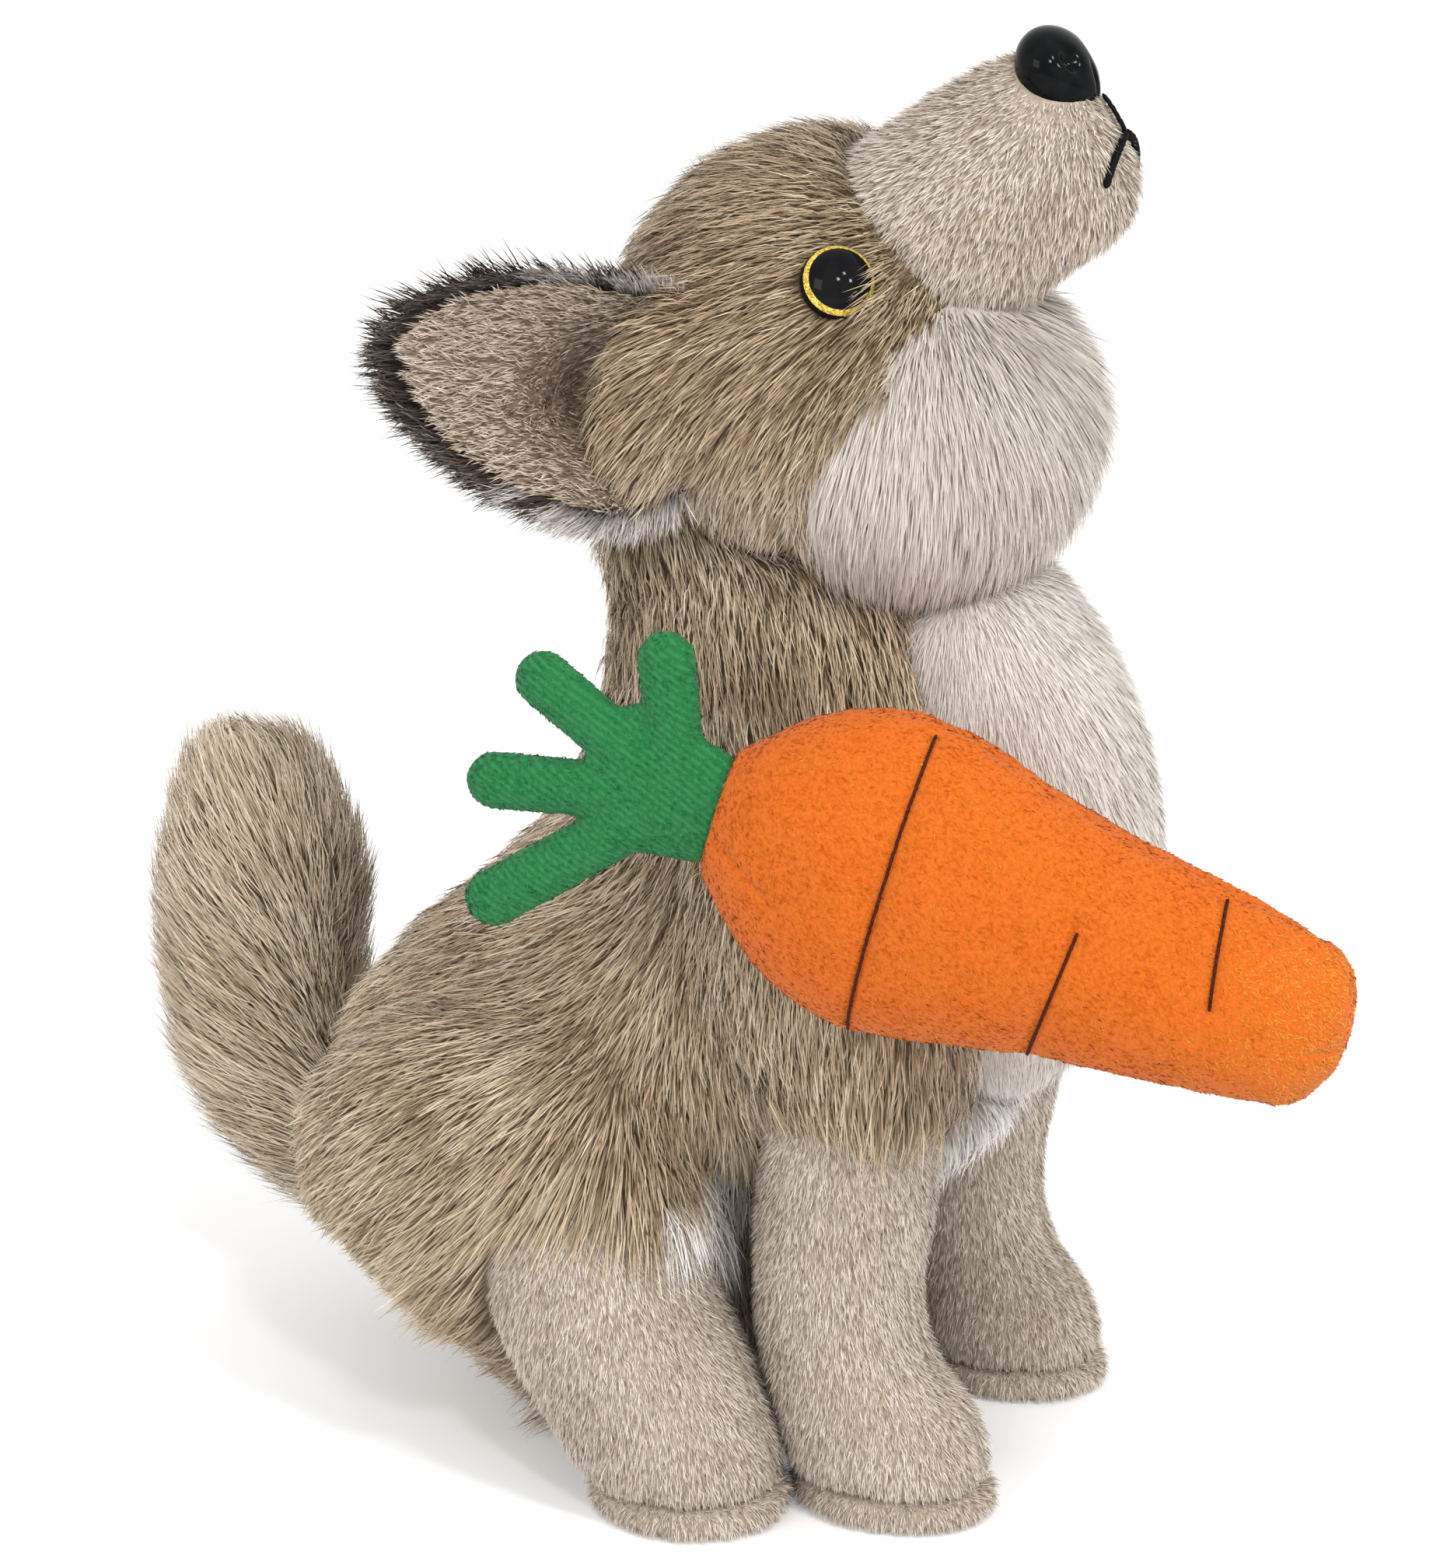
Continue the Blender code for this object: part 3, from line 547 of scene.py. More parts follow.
@dataclass(frozen=True)
class FabricFinish:
    """A cloth surface: two mixed colours on noise, with a fine bump."""

    name: str
    slot: str
    colours: Colours
    grain: float = 700.0
    bump: float = 0.35
    depth: float = 0.0002
    roughness: float = 0.9
    sheen: float = 0.2
    gloss: float = 0.3

    def material(self) -> bpy.types.Material:
        """The material: noise on Object coordinates picks the colour and lifts the bump.

        Returns:
            The new material.
        """
        tree = NodeTree(self.name)
        place = tree.node("ShaderNodeTexCoord")
        noise = tree.node("ShaderNodeTexNoise")
        tree.put(noise, Scale=self.grain, Detail=3.0)
        tree.link(place, "Object", noise, "Vector")
        ramp = tree.ramp(self.colours, (0.35, 0.65))
        tree.link(noise, "Fac", ramp, "Fac")
        tree.link(ramp, "Color", tree.shader, "Base Color")
        bump = tree.node("ShaderNodeBump")
        tree.put(bump, Strength=self.bump, Distance=self.depth)
        tree.link(noise, "Fac", bump, "Height")
        tree.link(bump, "Normal", tree.shader, "Normal")
        tree.surface(self.roughness, self.gloss, self.sheen)
        return tree.material


@dataclass(frozen=True)
class GlossFinish:
    """Moulded plastic, glossy, with fine glitter where it has any."""

    name: str
    slot: str
    colour: tuple[float, float, float]
    sparkle: tuple[float, float, float] | None = None
    roughness: float = 0.06
    metallic: float = 0.0
    gloss: float = 0.08

    def material(self) -> bpy.types.Material:
        """The material: fine cells pick between colour and sparkle, or soft noise wavers the colour.

        Returns:
            The new material.
        """
        tree = NodeTree(self.name)
        place = tree.node("ShaderNodeTexCoord")
        if self.sparkle is not None:
            grain = tree.node("ShaderNodeTexVoronoi")
            tree.put(grain, Scale=5200.0)
            ramp = tree.ramp((self.colour, self.sparkle), (0.15, 0.75))
            tree.link(grain, "Color", ramp, "Fac")
        else:
            grain = tree.node("ShaderNodeTexNoise")
            tree.put(grain, Scale=420.0)
            lifted = tuple(0.6 * part + 0.004 for part in self.colour)
            ramp = tree.ramp((self.colour, lifted), (0.4, 0.6))
            tree.link(grain, "Fac", ramp, "Fac")
        tree.link(place, "Object", grain, "Vector")
        tree.link(ramp, "Color", tree.shader, "Base Color")
        tree.surface(self.roughness, self.gloss, metallic=self.metallic)
        return tree.material


@dataclass(frozen=True)
class KnitFinish:
    """Brushed knit: ribs across one direction, broken up by noise."""

    name: str
    slot: str
    colours: Colours
    turn: tuple[float, float, float]
    pitch: float

    def material(self) -> bpy.types.Material:
        """The material: turned Object coordinates feed a band wave that darkens and sinks between the ribs.

        Returns:
            The new material.
        """
        tree = NodeTree(self.name)
        place = tree.node("ShaderNodeTexCoord")
        turned = tree.node("ShaderNodeMapping")
        tree.put(turned, Rotation=self.turn)
        tree.link(place, "Object", turned, "Vector")
        wave = tree.node("ShaderNodeTexWave", bands_direction="Z")
        tree.put(wave, Scale=0.314 / self.pitch, Distortion=1.2, Detail=2.0, Detail_Scale=3.0)
        tree.link(turned, "Vector", wave, "Vector")
        noise = tree.node("ShaderNodeTexNoise")
        tree.put(noise, Scale=1500.0)
        tree.link(place, "Object", noise, "Vector")
        both = tree.mix("MULTIPLY", None, wave, noise)
        ramp = tree.ramp(self.colours, (0.02, 0.5))
        tree.link(both, "Color", ramp, "Fac")
        tree.link(ramp, "Color", tree.shader, "Base Color")
        bump = tree.node("ShaderNodeBump")
        tree.put(bump, Strength=0.5, Distance=0.00025)
        tree.link(both, "Color", bump, "Height")
        tree.link(bump, "Normal", tree.shader, "Normal")
        tree.surface(0.9, sheen=0.1)
        return tree.material


class NodeTree:
    """A new material with short calls to add and join its nodes."""

    def __init__(self, name: str) -> None:
        """Start with a plain Principled shader and its output.

        Args:
            name: name of the material.
        """
        self.material = bpy.data.materials.new(name)
        self.material.use_nodes = True
        self.nodes = self.material.node_tree.nodes
        self.shader = self.nodes["Principled BSDF"]

    def node(self, kind: str, **values: object) -> bpy.types.Node:
        """Add a node and set its plain properties.

        Args:
            kind: the type of the node.
            values: its properties.

        Returns:
            The new node.
        """
        made = self.nodes.new(kind)
        for key, value in values.items():
            setattr(made, key, value)
        return made

    def link(self, source: bpy.types.Node, out: str, target: bpy.types.Node, into: str) -> None:
        """Join an output to an input, both by name."""
        self.material.node_tree.links.new(source.outputs[out], target.inputs[into])

    def put(self, target: bpy.types.Node, **values: object) -> None:
        """Set inputs of a node, with an underscore in a keyword for each space in the input's name."""
        for key, value in values.items():
            target.inputs[key.replace("_", " ")].default_value = value

    def surface(self, rough: float, gloss: float = 0.5, sheen: float = 0.0, metallic: float = 0.0) -> None:
        """Set roughness, specular level, sheen and metallic of the shader."""
        self.put(self.shader, Roughness=rough, Specular_IOR_Level=gloss)
        self.put(self.shader, Sheen_Weight=sheen, Metallic=metallic)

    def ramp(
        self, colours: Sequence[Sequence[float]], ends: tuple[float, float] = (0.0, 1.0)
    ) -> bpy.types.Node:
        """A colour ramp with its colours spaced evenly between the two ends.

        Args:
            colours: linear colours.
            ends: places of the first and the last colour.

        Returns:
            The ramp node.
        """
        made = self.nodes.new("ShaderNodeValToRGB")
        stops = made.color_ramp.elements
        while len(stops) < len(colours):
            stops.new(0.5)
        for index, colour in enumerate(colours):
            stops[index].position = ends[0] + (ends[1] - ends[0]) * index / (len(colours) - 1)
            stops[index].color = (*colour, 1.0)
        return made

    def mix(
        self, blend: str, factor: bpy.types.Node | None, first: bpy.types.Node, second: bpy.types.Node
    ) -> bpy.types.Node:
        """Mix the colours of two nodes, by a third one's colour or fully.

        Args:
            blend: the blend mode.
            factor: node whose colour is the share of the second, or None for all of it.
            first: node of the first colour.
            second: node of the second colour.

        Returns:
            The mix node.
        """
        made = self.nodes.new("ShaderNodeMixRGB")
        made.blend_type = blend
        made.inputs["Fac"].default_value = 1.0
        if factor is not None:
            self.link(factor, "Color", made, "Fac")
        self.link(first, "Color", made, "Color1")
        self.link(second, "Color", made, "Color2")
        return made


def srgb(red: int, green: int, blue: int) -> tuple[float, float, float]:
    """A screen colour as linear light: ((c + 0.055) / 1.055) to the power 2.4.

    Args:
        red: 0 to 255.
        green: 0 to 255.
        blue: 0 to 255.

    Returns:
        The three linear values.
    """
    screen = np.array([red, green, blue]) / 255.0
    linear = np.where(screen <= 0.04045, screen / 12.92, ((screen + 0.055) / 1.055) ** 2.4)
    return tuple(float(part) for part in linear)


def shades(codes: str) -> Colours:
    """Screen colours written as hexadecimal codes with spaces between, as linear light."""
    return tuple(srgb(*bytes.fromhex(code)) for code in codes.split())


# Pile


@dataclass(frozen=True)
class Pile:
    """How one fabric's pile grows: metres, degrees, and strands per square metre."""

    length: float
    width: float
    density: float
    blade: Blade = Blade.LONG
    root_lift: float = 40.0
    tip_lift: float = 10.0
    clump: float = 0.0024
    pull: float = 0.5
    spread: float = 9.0
    vary: float = 0.30
    dark_share: float = 0.22
    dark_tone: float = 0.35
    tone_spread: float = 0.20
    wobble: float = 0.28
    sink: float = 0.0003


@dataclass
class Roots:
    """Where strands grow: points, outward normals, combing directions, and changes of length and tone."""

    points: Array
    normals: Array
    combs: Array
    lengths: Array
    tones: Array

    def keep(self, mask: Array) -> "Roots":
        """The roots where the mask is true."""
        return Roots(*(values[mask] for values in vars(self).values()))

    def outside(self, hidden: Hidden) -> "Roots":
        """The roots that no given form hides."""
        return self.keep(~inside_any(self.points, hidden))


def scatter(
    points: Array, triangles: Array, normals: Array, density: float, seed: int
) -> tuple[Array, Array]:
    """Random points on a mesh: triangles are picked by area, then a point in each by two random shares.

    Args:
        points: mesh points.
        triangles: rows of three indices.
        normals: point normals.
        density: points per square metre.
        seed: seed of the random numbers.

    Returns:
        The scattered points and their normals.
    """
    rng = np.random.default_rng(seed)
    corners = points[triangles]
    area = 0.5 * np.linalg.norm(
        np.cross(corners[:, 1] - corners[:, 0], corners[:, 2] - corners[:, 0]), axis=1
    )
    total = area.sum()
    count = int(total * density)
    picked = np.searchsorted(np.cumsum(area), rng.random(count) * total)
    picked = np.minimum(picked, len(triangles) - 1)
    first = np.sqrt(rng.random(count))
    second = rng.random(count)
    shares = np.stack([1.0 - first, first * (1.0 - second), first * second], axis=1)[:, :, None]
    spot = (corners[picked] * shares).sum(1)
    facing = unit((normals[triangles[picked]] * shares).sum(1))
    return spot, facing


FLOOR_GAP = 0.0001
BEND_SHARE = 0.45
CELL_PRIMES = np.array([73856093, 19349663, 83492791])
SEED_PRIME = 2654435761
PLACE_PRIMES = (1103515245, 22695477, 134775813)


def nearest_clump(points: Array, size: float, seed: int) -> tuple[Array, Array]:
    """The nearest clump middle of each point: every cube of the given size holds one, at a hashed place.

    Args:
        points: rows of x, y, z.
        size: edge of the cubes.
        seed: changes the hash.

    Returns:
        The middles, and one random number from 0 to 1 for each point's clump.
    """
    cell = np.floor(points / size).astype(np.int64)
    best = np.full(len(points), np.inf)
    middle = np.zeros_like(points)
    mark = np.zeros(len(points))
    steps = np.stack(np.meshgrid([-1, 0, 1], [-1, 0, 1], [-1, 0, 1], indexing="ij"), -1).reshape(-1, 3)
    for step in steps:
        cube = cell + step
        x, y, z = (cube * CELL_PRIMES).T
        code = x ^ y ^ z ^ (seed * SEED_PRIME)
        place = np.stack([((code * prime) >> 11) & 0xFFFF for prime in PLACE_PRIMES], 1) / 65535.0
        spot = (cube + place) * size
        gap = ((spot - points) ** 2).sum(1)
        closer = gap < best
        best = np.where(closer, gap, best)
        middle[closer] = spot[closer]
        mark[closer] = place[closer, 0]
    return middle, mark


def grow(pile: Pile, roots: Roots, seed: int) -> tuple[Array, Array, Array, Array]:
    """Grow strands from their roots.

    Each strand leaves the fabric at the root lift above the comb direction and flattens to the tip lift. Its
    middle and tip are then pulled sideways towards the middle of its clump, which makes tufts with gaps.

    Args:
        pile: the kind of pile.
        roots: where the strands grow.
        seed: seed of the random numbers.

    Returns:
        Points of each strand (strand, point, x y z), shading normals, uv rows, and the faces of one strand.
    """
    rng = np.random.default_rng(seed)
    count = len(roots.points)
    normal = roots.normals
    comb = unit(roots.combs - normal * (roots.combs * normal).sum(1, keepdims=True))
    side = np.cross(comb, normal)
    middle, mark = nearest_clump(roots.points, pile.clump, seed)
    turn = np.radians(rng.normal(0.0, pile.spread, count) + (mark - 0.5) * 1.6 * pile.spread)[:, None]
    comb = comb * np.cos(turn) + side * np.sin(turn)
    side = np.cross(comb, normal)
    length = (pile.length * roots.lengths * (1.0 + rng.uniform(-pile.vary, pile.vary, count)))[:, None]
    root_lift = np.radians(pile.root_lift + rng.normal(0.0, 7.0, count))[:, None]
    tip_lift = np.radians(pile.tip_lift + rng.normal(0.0, 9.0, count))[:, None]
    base = roots.points - normal * pile.sink
    bend = base + length * BEND_SHARE * (comb * np.cos(root_lift) + normal * np.sin(root_lift))
    tip = bend + length * (1.0 - BEND_SHARE) * (comb * np.cos(tip_lift) + normal * np.sin(tip_lift))
    offset = middle - roots.points
    drift = side * (offset * side).sum(1, keepdims=True)
    drift = drift + comb * (0.35 * (offset * comb).sum(1, keepdims=True))
    bend = bend + drift * (0.4 * pile.pull)
    tip = tip + drift * pile.pull
    roll = rng.normal(0.0, 0.5, count)[:, None]
    flat = (side * np.cos(roll) + normal * np.sin(roll)) * (0.5 * pile.width)
    if pile.blade is Blade.LONG:
        strand = np.stack([base - flat, base + flat, bend + flat * 0.85, bend - flat * 0.85, tip], axis=1)
        faces = np.array([[0, 1, 2], [0, 2, 3], [3, 2, 4]])
        across = np.array([0.0, 1.0, 1.0, 0.0, 0.5])
        along = np.array([0.0, 0.0, BEND_SHARE, BEND_SHARE, 1.0])
    else:
        strand = np.stack([base - flat, base + flat, tip], axis=1)
        faces = np.array([[0, 1, 2]])
        across = np.array([0.0, 1.0, 0.5])
        along = np.array([0.0, 0.0, 1.0])
    strand[:, :, 2] = np.maximum(strand[:, :, 2], FLOOR_GAP)
    facing = unit(np.cross(strand[:, 1] - strand[:, 0], strand[:, -1] - strand[:, 0]))
    inward = (facing * normal).sum(1) < 0.0
    strand[inward] = strand[inward][:, [1, 0, 3, 2, 4] if pile.blade is Blade.LONG else [1, 0, 2]]
    shading = normal * 1.0 + side * rng.normal(0.0, pile.wobble, count)[:, None]
    shading = unit(shading + comb * rng.normal(-0.05, 0.15, count)[:, None])
    shading = np.repeat(shading[:, None, :], strand.shape[1], axis=1)
    tone = 0.5 + pile.tone_spread * rng.normal(size=count) + 0.12 * (mark - 0.5) + 0.5 * roots.tones
    tone = np.where(rng.random(count) < pile.dark_share, tone * pile.dark_tone, tone)
    tone = np.clip(tone, 0.01, 0.985)
    uv = np.stack(
        [tone[:, None] + 0.006 * across[None, :], np.tile(0.01 + 0.98 * along, (count, 1))], axis=-1
    )
    return strand, shading, uv, faces


@dataclass
class Workshop:
    """What all classes share: the shift into the frame, ready materials and the count of new triangles."""

    shift: Array
    materials: dict[str, bpy.types.Material] = field(default_factory=dict)
    triangles: int = 0

    def finish_of(
        self, finish: "PileFinish | FabricFinish | GlossFinish | KnitFinish"
    ) -> bpy.types.Material:
        """The material of a finish, made once.

        Args:
            finish: the finish.

        Returns:
            The material.
        """
        if finish.name not in self.materials:
            self.materials[finish.name] = finish.material()
        return self.materials[finish.name]

    def add(
        self, name: str, mesh: bpy.types.Mesh, material: bpy.types.Material, slot: str
    ) -> bpy.types.Object:
        """Put a mesh into the scene as a piece that rides on the one body.

        Args:
            name: name of the piece.
            mesh: its mesh, already in place.
            material: its material.
            slot: not used.

        Returns:
            The new object.
        """
        piece = bpy.data.objects.new(name, mesh)
        mesh.materials.append(material)
        bpy.context.scene.collection.objects.link(piece)
        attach(piece, "root")
        count = len(mesh.loops) - 2 * len(mesh.polygons)
        self.triangles += count
        logger.info("%s: %d triangles", name, count)
        return piece

    def solid(
        self, name: str, surface: Surface, finish: "FabricFinish | GlossFinish | KnitFinish", *nodes: str
    ) -> bpy.types.Object:
        """Add a firm piece that stands for CAD nodes.

        Args:
            name: name of the piece.
            surface: its closed surface in toy coordinates.
            finish: its material.
            nodes: the CAD nodes that it replaces.

        Returns:
            The piece.
        """
        piece = self.add(name, mesh_from(name, surface, self.shift), self.finish_of(finish), finish.slot)
        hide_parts(*nodes)
        return piece

    def skin(
        self, name: str, surface: Surface, finish: "FabricFinish | KnitFinish", nodes: Sequence[str],
        fill: float = 0.8,
    ) -> bpy.types.Object:
        """Add a stuffed skin that stands for CAD nodes.

        Args:
            name: name of the piece.
            surface: its closed surface in toy coordinates.
            finish: its fabric.
            nodes: the CAD nodes that it replaces.
            fill: not used.

        Returns:
            The piece.
        """
        piece = self.solid(name, surface, finish, *nodes)
        return piece

    def shaped(self, name: str, surface: Surface, dress: Callable[[bpy.types.Object], None]) -> Surface:
        """The surface that a passing object shows after its modifiers.

        Args:
            name: name of the passing object.
            surface: its closed surface.
            dress: adds the modifiers.

        Returns:
            The shown surface, in quads.
        """
        rough = bpy.data.objects.new(name, mesh_from(name, surface, np.zeros(3)))
        bpy.context.scene.collection.objects.link(rough)
        dress(rough)
        bpy.context.view_layer.update()
        shown = rough.evaluated_get(bpy.context.evaluated_depsgraph_get()).to_mesh()
        corners = numbers(shown.loops, "vertex_index")
        result = Surface(numbers(shown.vertices, "co", 3).astype(float), corners.reshape(-1, 4))
        bpy.data.objects.remove(rough, do_unlink=True)
        return result

    def merged(self, name: str, surfaces: Sequence[Surface], voxel: float, rounds: int) -> Surface:
        """One skin over closed surfaces: a voxel remesh of them together, then smoothed.

        Args:
            name: name of the passing object.
            surfaces: closed surfaces, which may overlap.
            voxel: voxel size in metres.
            rounds: rounds of smoothing.

        Returns:
            The merged surface in toy coordinates.
        """
        starts = np.cumsum([0] + [len(surface.points) for surface in surfaces[:-1]])
        points = np.concatenate([surface.points for surface in surfaces])
        faces = np.concatenate([surface.faces + start for surface, start in zip(surfaces, starts)])

        def dress(rough: bpy.types.Object) -> None:
            """Voxel remesh, then smooth.

            Args:
                rough: the passing object.
            """
            remesh = rough.modifiers.new("remesh", "REMESH")
            remesh.mode = "VOXEL"
            remesh.voxel_size = voxel
            smooth = rough.modifiers.new("smooth", "SMOOTH")
            smooth.factor = 0.5
            smooth.iterations = rounds

        return self.shaped(name, Surface(points, faces), dress)

    def divided(self, name: str, surface: Surface) -> Surface:
        """The surface after one subdivision.

        Args:
            name: name of the object.
            surface: a closed surface.

        Returns:
            The finer surface.
        """

        def dress(rough: bpy.types.Object) -> None:
            """One level of Catmull-Clark.

            Args:
                rough: the passing object.
            """
            split = rough.modifiers.new("split", "SUBSURF")
            split.levels = 1
            split.render_levels = 1

        return self.shaped(name, surface, dress)

    def stuffed(self, name: str, surfaces: Sequence[Surface], cut: "Seams") -> Surface:
        """A stuffed cloth: remeshed, blown up by the cloth simulation, subdivided and grooved at its seams.

        Args:
            name: stem of the names of the passing objects.
            surfaces: closed surfaces, slightly smaller than the finished piece.
            cut: the seams and the sizes of the cloth.

        Returns:
            The finished surface in toy coordinates.
        """
        surface = self.merged(name, surfaces, cut.voxel, cut.rounds)
        near = np.exp(-(cut.gap(surface.points) / (1.4 * cut.voxel)) ** 2)
        surface = self.inflate(name, surface, np.round(4.0 * near) / 4.0, cut.cap)
        if cut.subdivide:
            surface = self.divided(name, surface)
        depth = cut.groove * np.exp(-(cut.gap(surface.points) / cut.width) ** 2)
        points = surface.points - point_normals(surface) * depth[:, None]
        points[:, 2] = np.maximum(points[:, 2], 0.0)
        return Surface(points, surface.faces)

    def inflate(self, name: str, surface: Surface, pins: Array, cap: float) -> Surface:
        """Blow a closed cloth up a little with Blender's cloth, and hold back points that are sewn down.

        The cloth is simulated CLOTH_SCALE times larger, at the size of furniture that its springs are meant
        for, during CLOTH_FRAMES frames without gravity. Each point then keeps its move, scaled back and
        shortened to the cap.

        Args:
            name: name of the passing object.
            surface: the closed cloth, slightly smaller than the finished piece.
            pins: 1 where a point is sewn down, 0 where it is free.
            cap: the furthest that a point may move, in metres.

        Returns:
            The surface with its points moved.
        """
        large = Surface(surface.points * CLOTH_SCALE, surface.faces)
        cloth = bpy.data.objects.new(name, mesh_from(name, large, np.zeros(3)))
        bpy.context.scene.collection.objects.link(cloth)
        group = cloth.vertex_groups.new(name="sewn")
        for weight in (0.25, 0.5, 0.75, 1.0):
            group.add(np.flatnonzero(np.abs(pins - weight) <= 0.125).tolist(), weight, "REPLACE")
        modifier = cloth.modifiers.new("cloth", "CLOTH")
        modifier.settings.use_pressure = True
        modifier.settings.uniform_pressure_force = CLOTH_PRESSURE
        modifier.settings.mass = 0.05
        modifier.settings.tension_stiffness = 5.0
        modifier.settings.compression_stiffness = 5.0
        modifier.settings.effector_weights.gravity = 0.0
        modifier.settings.vertex_group_mass = "sewn"
        modifier.settings.quality = 6
        scene = bpy.context.scene
        for step in range(1, CLOTH_FRAMES + 1):
            scene.frame_set(step)
        shown = cloth.evaluated_get(bpy.context.evaluated_depsgraph_get()).to_mesh()
        move = numbers(shown.vertices, "co", 3) / CLOTH_SCALE - surface.points
        size = np.linalg.norm(move, axis=1, keepdims=True)
        logger.info(
            "%s: cloth moved up to %.2f mm, mean %.2f mm", name, 1000 * size.max(), 1000 * size.mean()
        )
        move *= np.minimum(1.0, cap / np.maximum(size, 1e-9))
        scene.frame_set(1)
        bpy.data.objects.remove(cloth, do_unlink=True)
        return Surface(surface.points + move, surface.faces, surface.uv)

    def roots_on(self, piece: bpy.types.Object, pile: Pile, comb: Comb, hidden: Hidden, seed: int) -> Roots:
        """Scatter roots over a skin and drop those that lie inside neighbouring forms.

        Args:
            piece: the skin.
            pile: the kind of pile, for its density.
            comb: gives the combing direction at points with normals.
            hidden: forms and insets that hide roots.
            seed: seed of the random numbers.

        Returns:
            The roots.
        """
        points, triangles, normals = mesh_arrays(piece.data, self.shift)
        spots, facing = scatter(points, triangles, normals, pile.density, seed)
        keep = ~inside_any(spots, hidden)
        spots, facing = spots[keep], facing[keep]
        tones = 0.22 * ripple(spots, 0.022, seed + 7) + 0.10 * ripple(spots, 0.006, seed + 8)
        lengths = 1.0 + 0.10 * ripple(spots, 0.012, seed + 9)
        return Roots(spots, facing, comb(spots, facing), lengths, tones)

    def plant(
        self, name: str, pile: Pile, roots: Roots, finish: PileFinish, seed: int, clear_of: Hidden = ()
    ) -> None:
        """Grow a pile and add it in pieces of at most BLADES_PER_PIECE long strands.

        Args:
            name: stem of the names of the pieces.
            pile: the kind of pile.
            roots: where the strands grow.
            finish: its colours.
            seed: seed of the random numbers.
            clear_of: forms and insets that no strand may end in.
        """
        strand, shading, uv, faces = grow(pile, roots, seed)
        ends, middles = strand[:, -1], 0.5 * (strand[:, -1] + strand[:, 0])
        keep = ~(inside_any(ends, clear_of) | inside_any(middles, clear_of))
        strand, shading, uv = strand[keep], shading[keep], uv[keep]
        per = BLADES_PER_PIECE if pile.blade is Blade.LONG else 3 * BLADES_PER_PIECE
        parts = max(1, math.ceil(len(strand) / per))
        for part, rows in enumerate(np.array_split(np.arange(len(strand)), parts)):
            label = name if parts == 1 else f"{name}_{part + 1}"
            each = strand.shape[1]
            index = (np.arange(len(rows)) * each)[:, None, None] + faces[None, :, :]
            surface = Surface(strand[rows].reshape(-1, 3), index.reshape(-1, 3), uv[rows].reshape(-1, 2))
            mesh = mesh_from(label, surface, self.shift)
            layer = mesh.attributes.new("custom_normal", "FLOAT_VECTOR", "POINT")
            layer.data.foreach_set("vector", shading[rows].astype(np.float32).ravel())
            self.add(label, mesh, self.finish_of(finish), finish.slot)


# Finishes of this toy

BROWN = PileFinish(
    "brown_pile_strands", "brown_pile", shades("604c34 a89274 c4b094 deceb6"),
    shades("846e52 c0ab8e d8c7ae f0e6d4"), root_shade=0.42,
)
CREAM = PileFinish(
    "cream_pile_strands", "cream_pile", shades("baaea1 cec4b9 d6cdc3 ded6ce"),
    shades("c8beb3 d7cfc5 dfd8d0 ece8e3"), root_shade=0.86,
)
CHEST = PileFinish(
    "chest_pile_strands", "chest_pile", shades("c8beb4 dcd4cb e4ddd5 ece6e0"),
    shades("d2c9bf e4ddd5 ece6e0 f3efeb"), root_shade=0.80,
)
WHITE = PileFinish(
    "white_pile_strands", "white_pile", shades("c8beb4 e4ded8 f0ece8 f8f6f4"),
    shades("ded6ce f0ece8 faf8f6 fdfcfb"), root_shade=0.5,
)
BEIGE = PileFinish(
    "beige_pile_strands", "beige_pile", shades("8c7660 ccbcaa dccfc0 ece3d8"),
    shades("a8947e dccfc0 ece2d6 f8f3ec"), root_shade=0.38,
)
DARK = PileFinish(
    "dark_pile_strands", "dark_pile", shades("2c2119 3e3025 4e3e32 68584a"),
    shades("34281f 504236 84786e e4e0dc"), root_shade=0.6, tip_start=0.68,
)
DARK_RIM = PileFinish(
    "dark_rim_strands", "dark_pile", shades("2e221a 3e3025 504034 706256"),
    shades("3a2e25 6c5e52 beb6ae fcfbfa"), root_shade=0.6, tip_start=0.66,
)
PALE_EAR = PileFinish(
    "pale_ear_strands", "dark_pile", shades("96887a beb4aa d8d2cc e8e4e0"),
    shades("beb6ae dedad6 f0eeec f8f7f6"), root_shade=0.4,
)
BROWN_CLOTH = FabricFinish("brown_backing", "brown_pile", shades("584834 74624a"))
CREAM_CLOTH = FabricFinish("cream_backing", "cream_pile", shades("c0b6ab cec5bb"))
CHEST_CLOTH = FabricFinish("chest_backing", "chest_pile", shades("b6aca2 ccc4bc"))
WHITE_CLOTH = FabricFinish("white_backing", "white_pile", shades("b8b0a8 cec8c2"))
BEIGE_CLOTH = FabricFinish("beige_backing", "beige_pile", shades("968a7a aea292"), 900.0)
LINING_CLOTH = FabricFinish("lining_backing", "beige_pile", shades("685645 84705d"), 900.0)
DARK_CLOTH = FabricFinish("dark_backing", "dark_pile", shades("281f19 3a2e26"))

LONG_PILE = Pile(
    length=0.0058, width=0.00025, density=3.2e6, clump=0.0015, pull=0.40, root_lift=34.0, tip_lift=7.0,
    spread=6.0
)
HEAD_PILE = Pile(
    length=0.0052, width=0.00023, density=4.2e6, clump=0.0014, pull=0.40, root_lift=36.0, tip_lift=8.0,
    spread=6.0
)
RUFF_PILE = Pile(
    length=0.0066, width=0.00029, density=7.8e6, blade=Blade.SHORT, clump=0.0022, pull=0.10, root_lift=26.0,
    tip_lift=7.0, spread=4.0, dark_share=0.02, tone_spread=0.09, wobble=0.06,
)
CHEST_PILE = Pile(
    length=0.0036, width=0.00024, density=7.5e6, blade=Blade.SHORT, clump=0.0016, pull=0.2, root_lift=26.0,
    tip_lift=8.0, spread=5.0, dark_share=0.05, tone_spread=0.12, wobble=0.15,
)
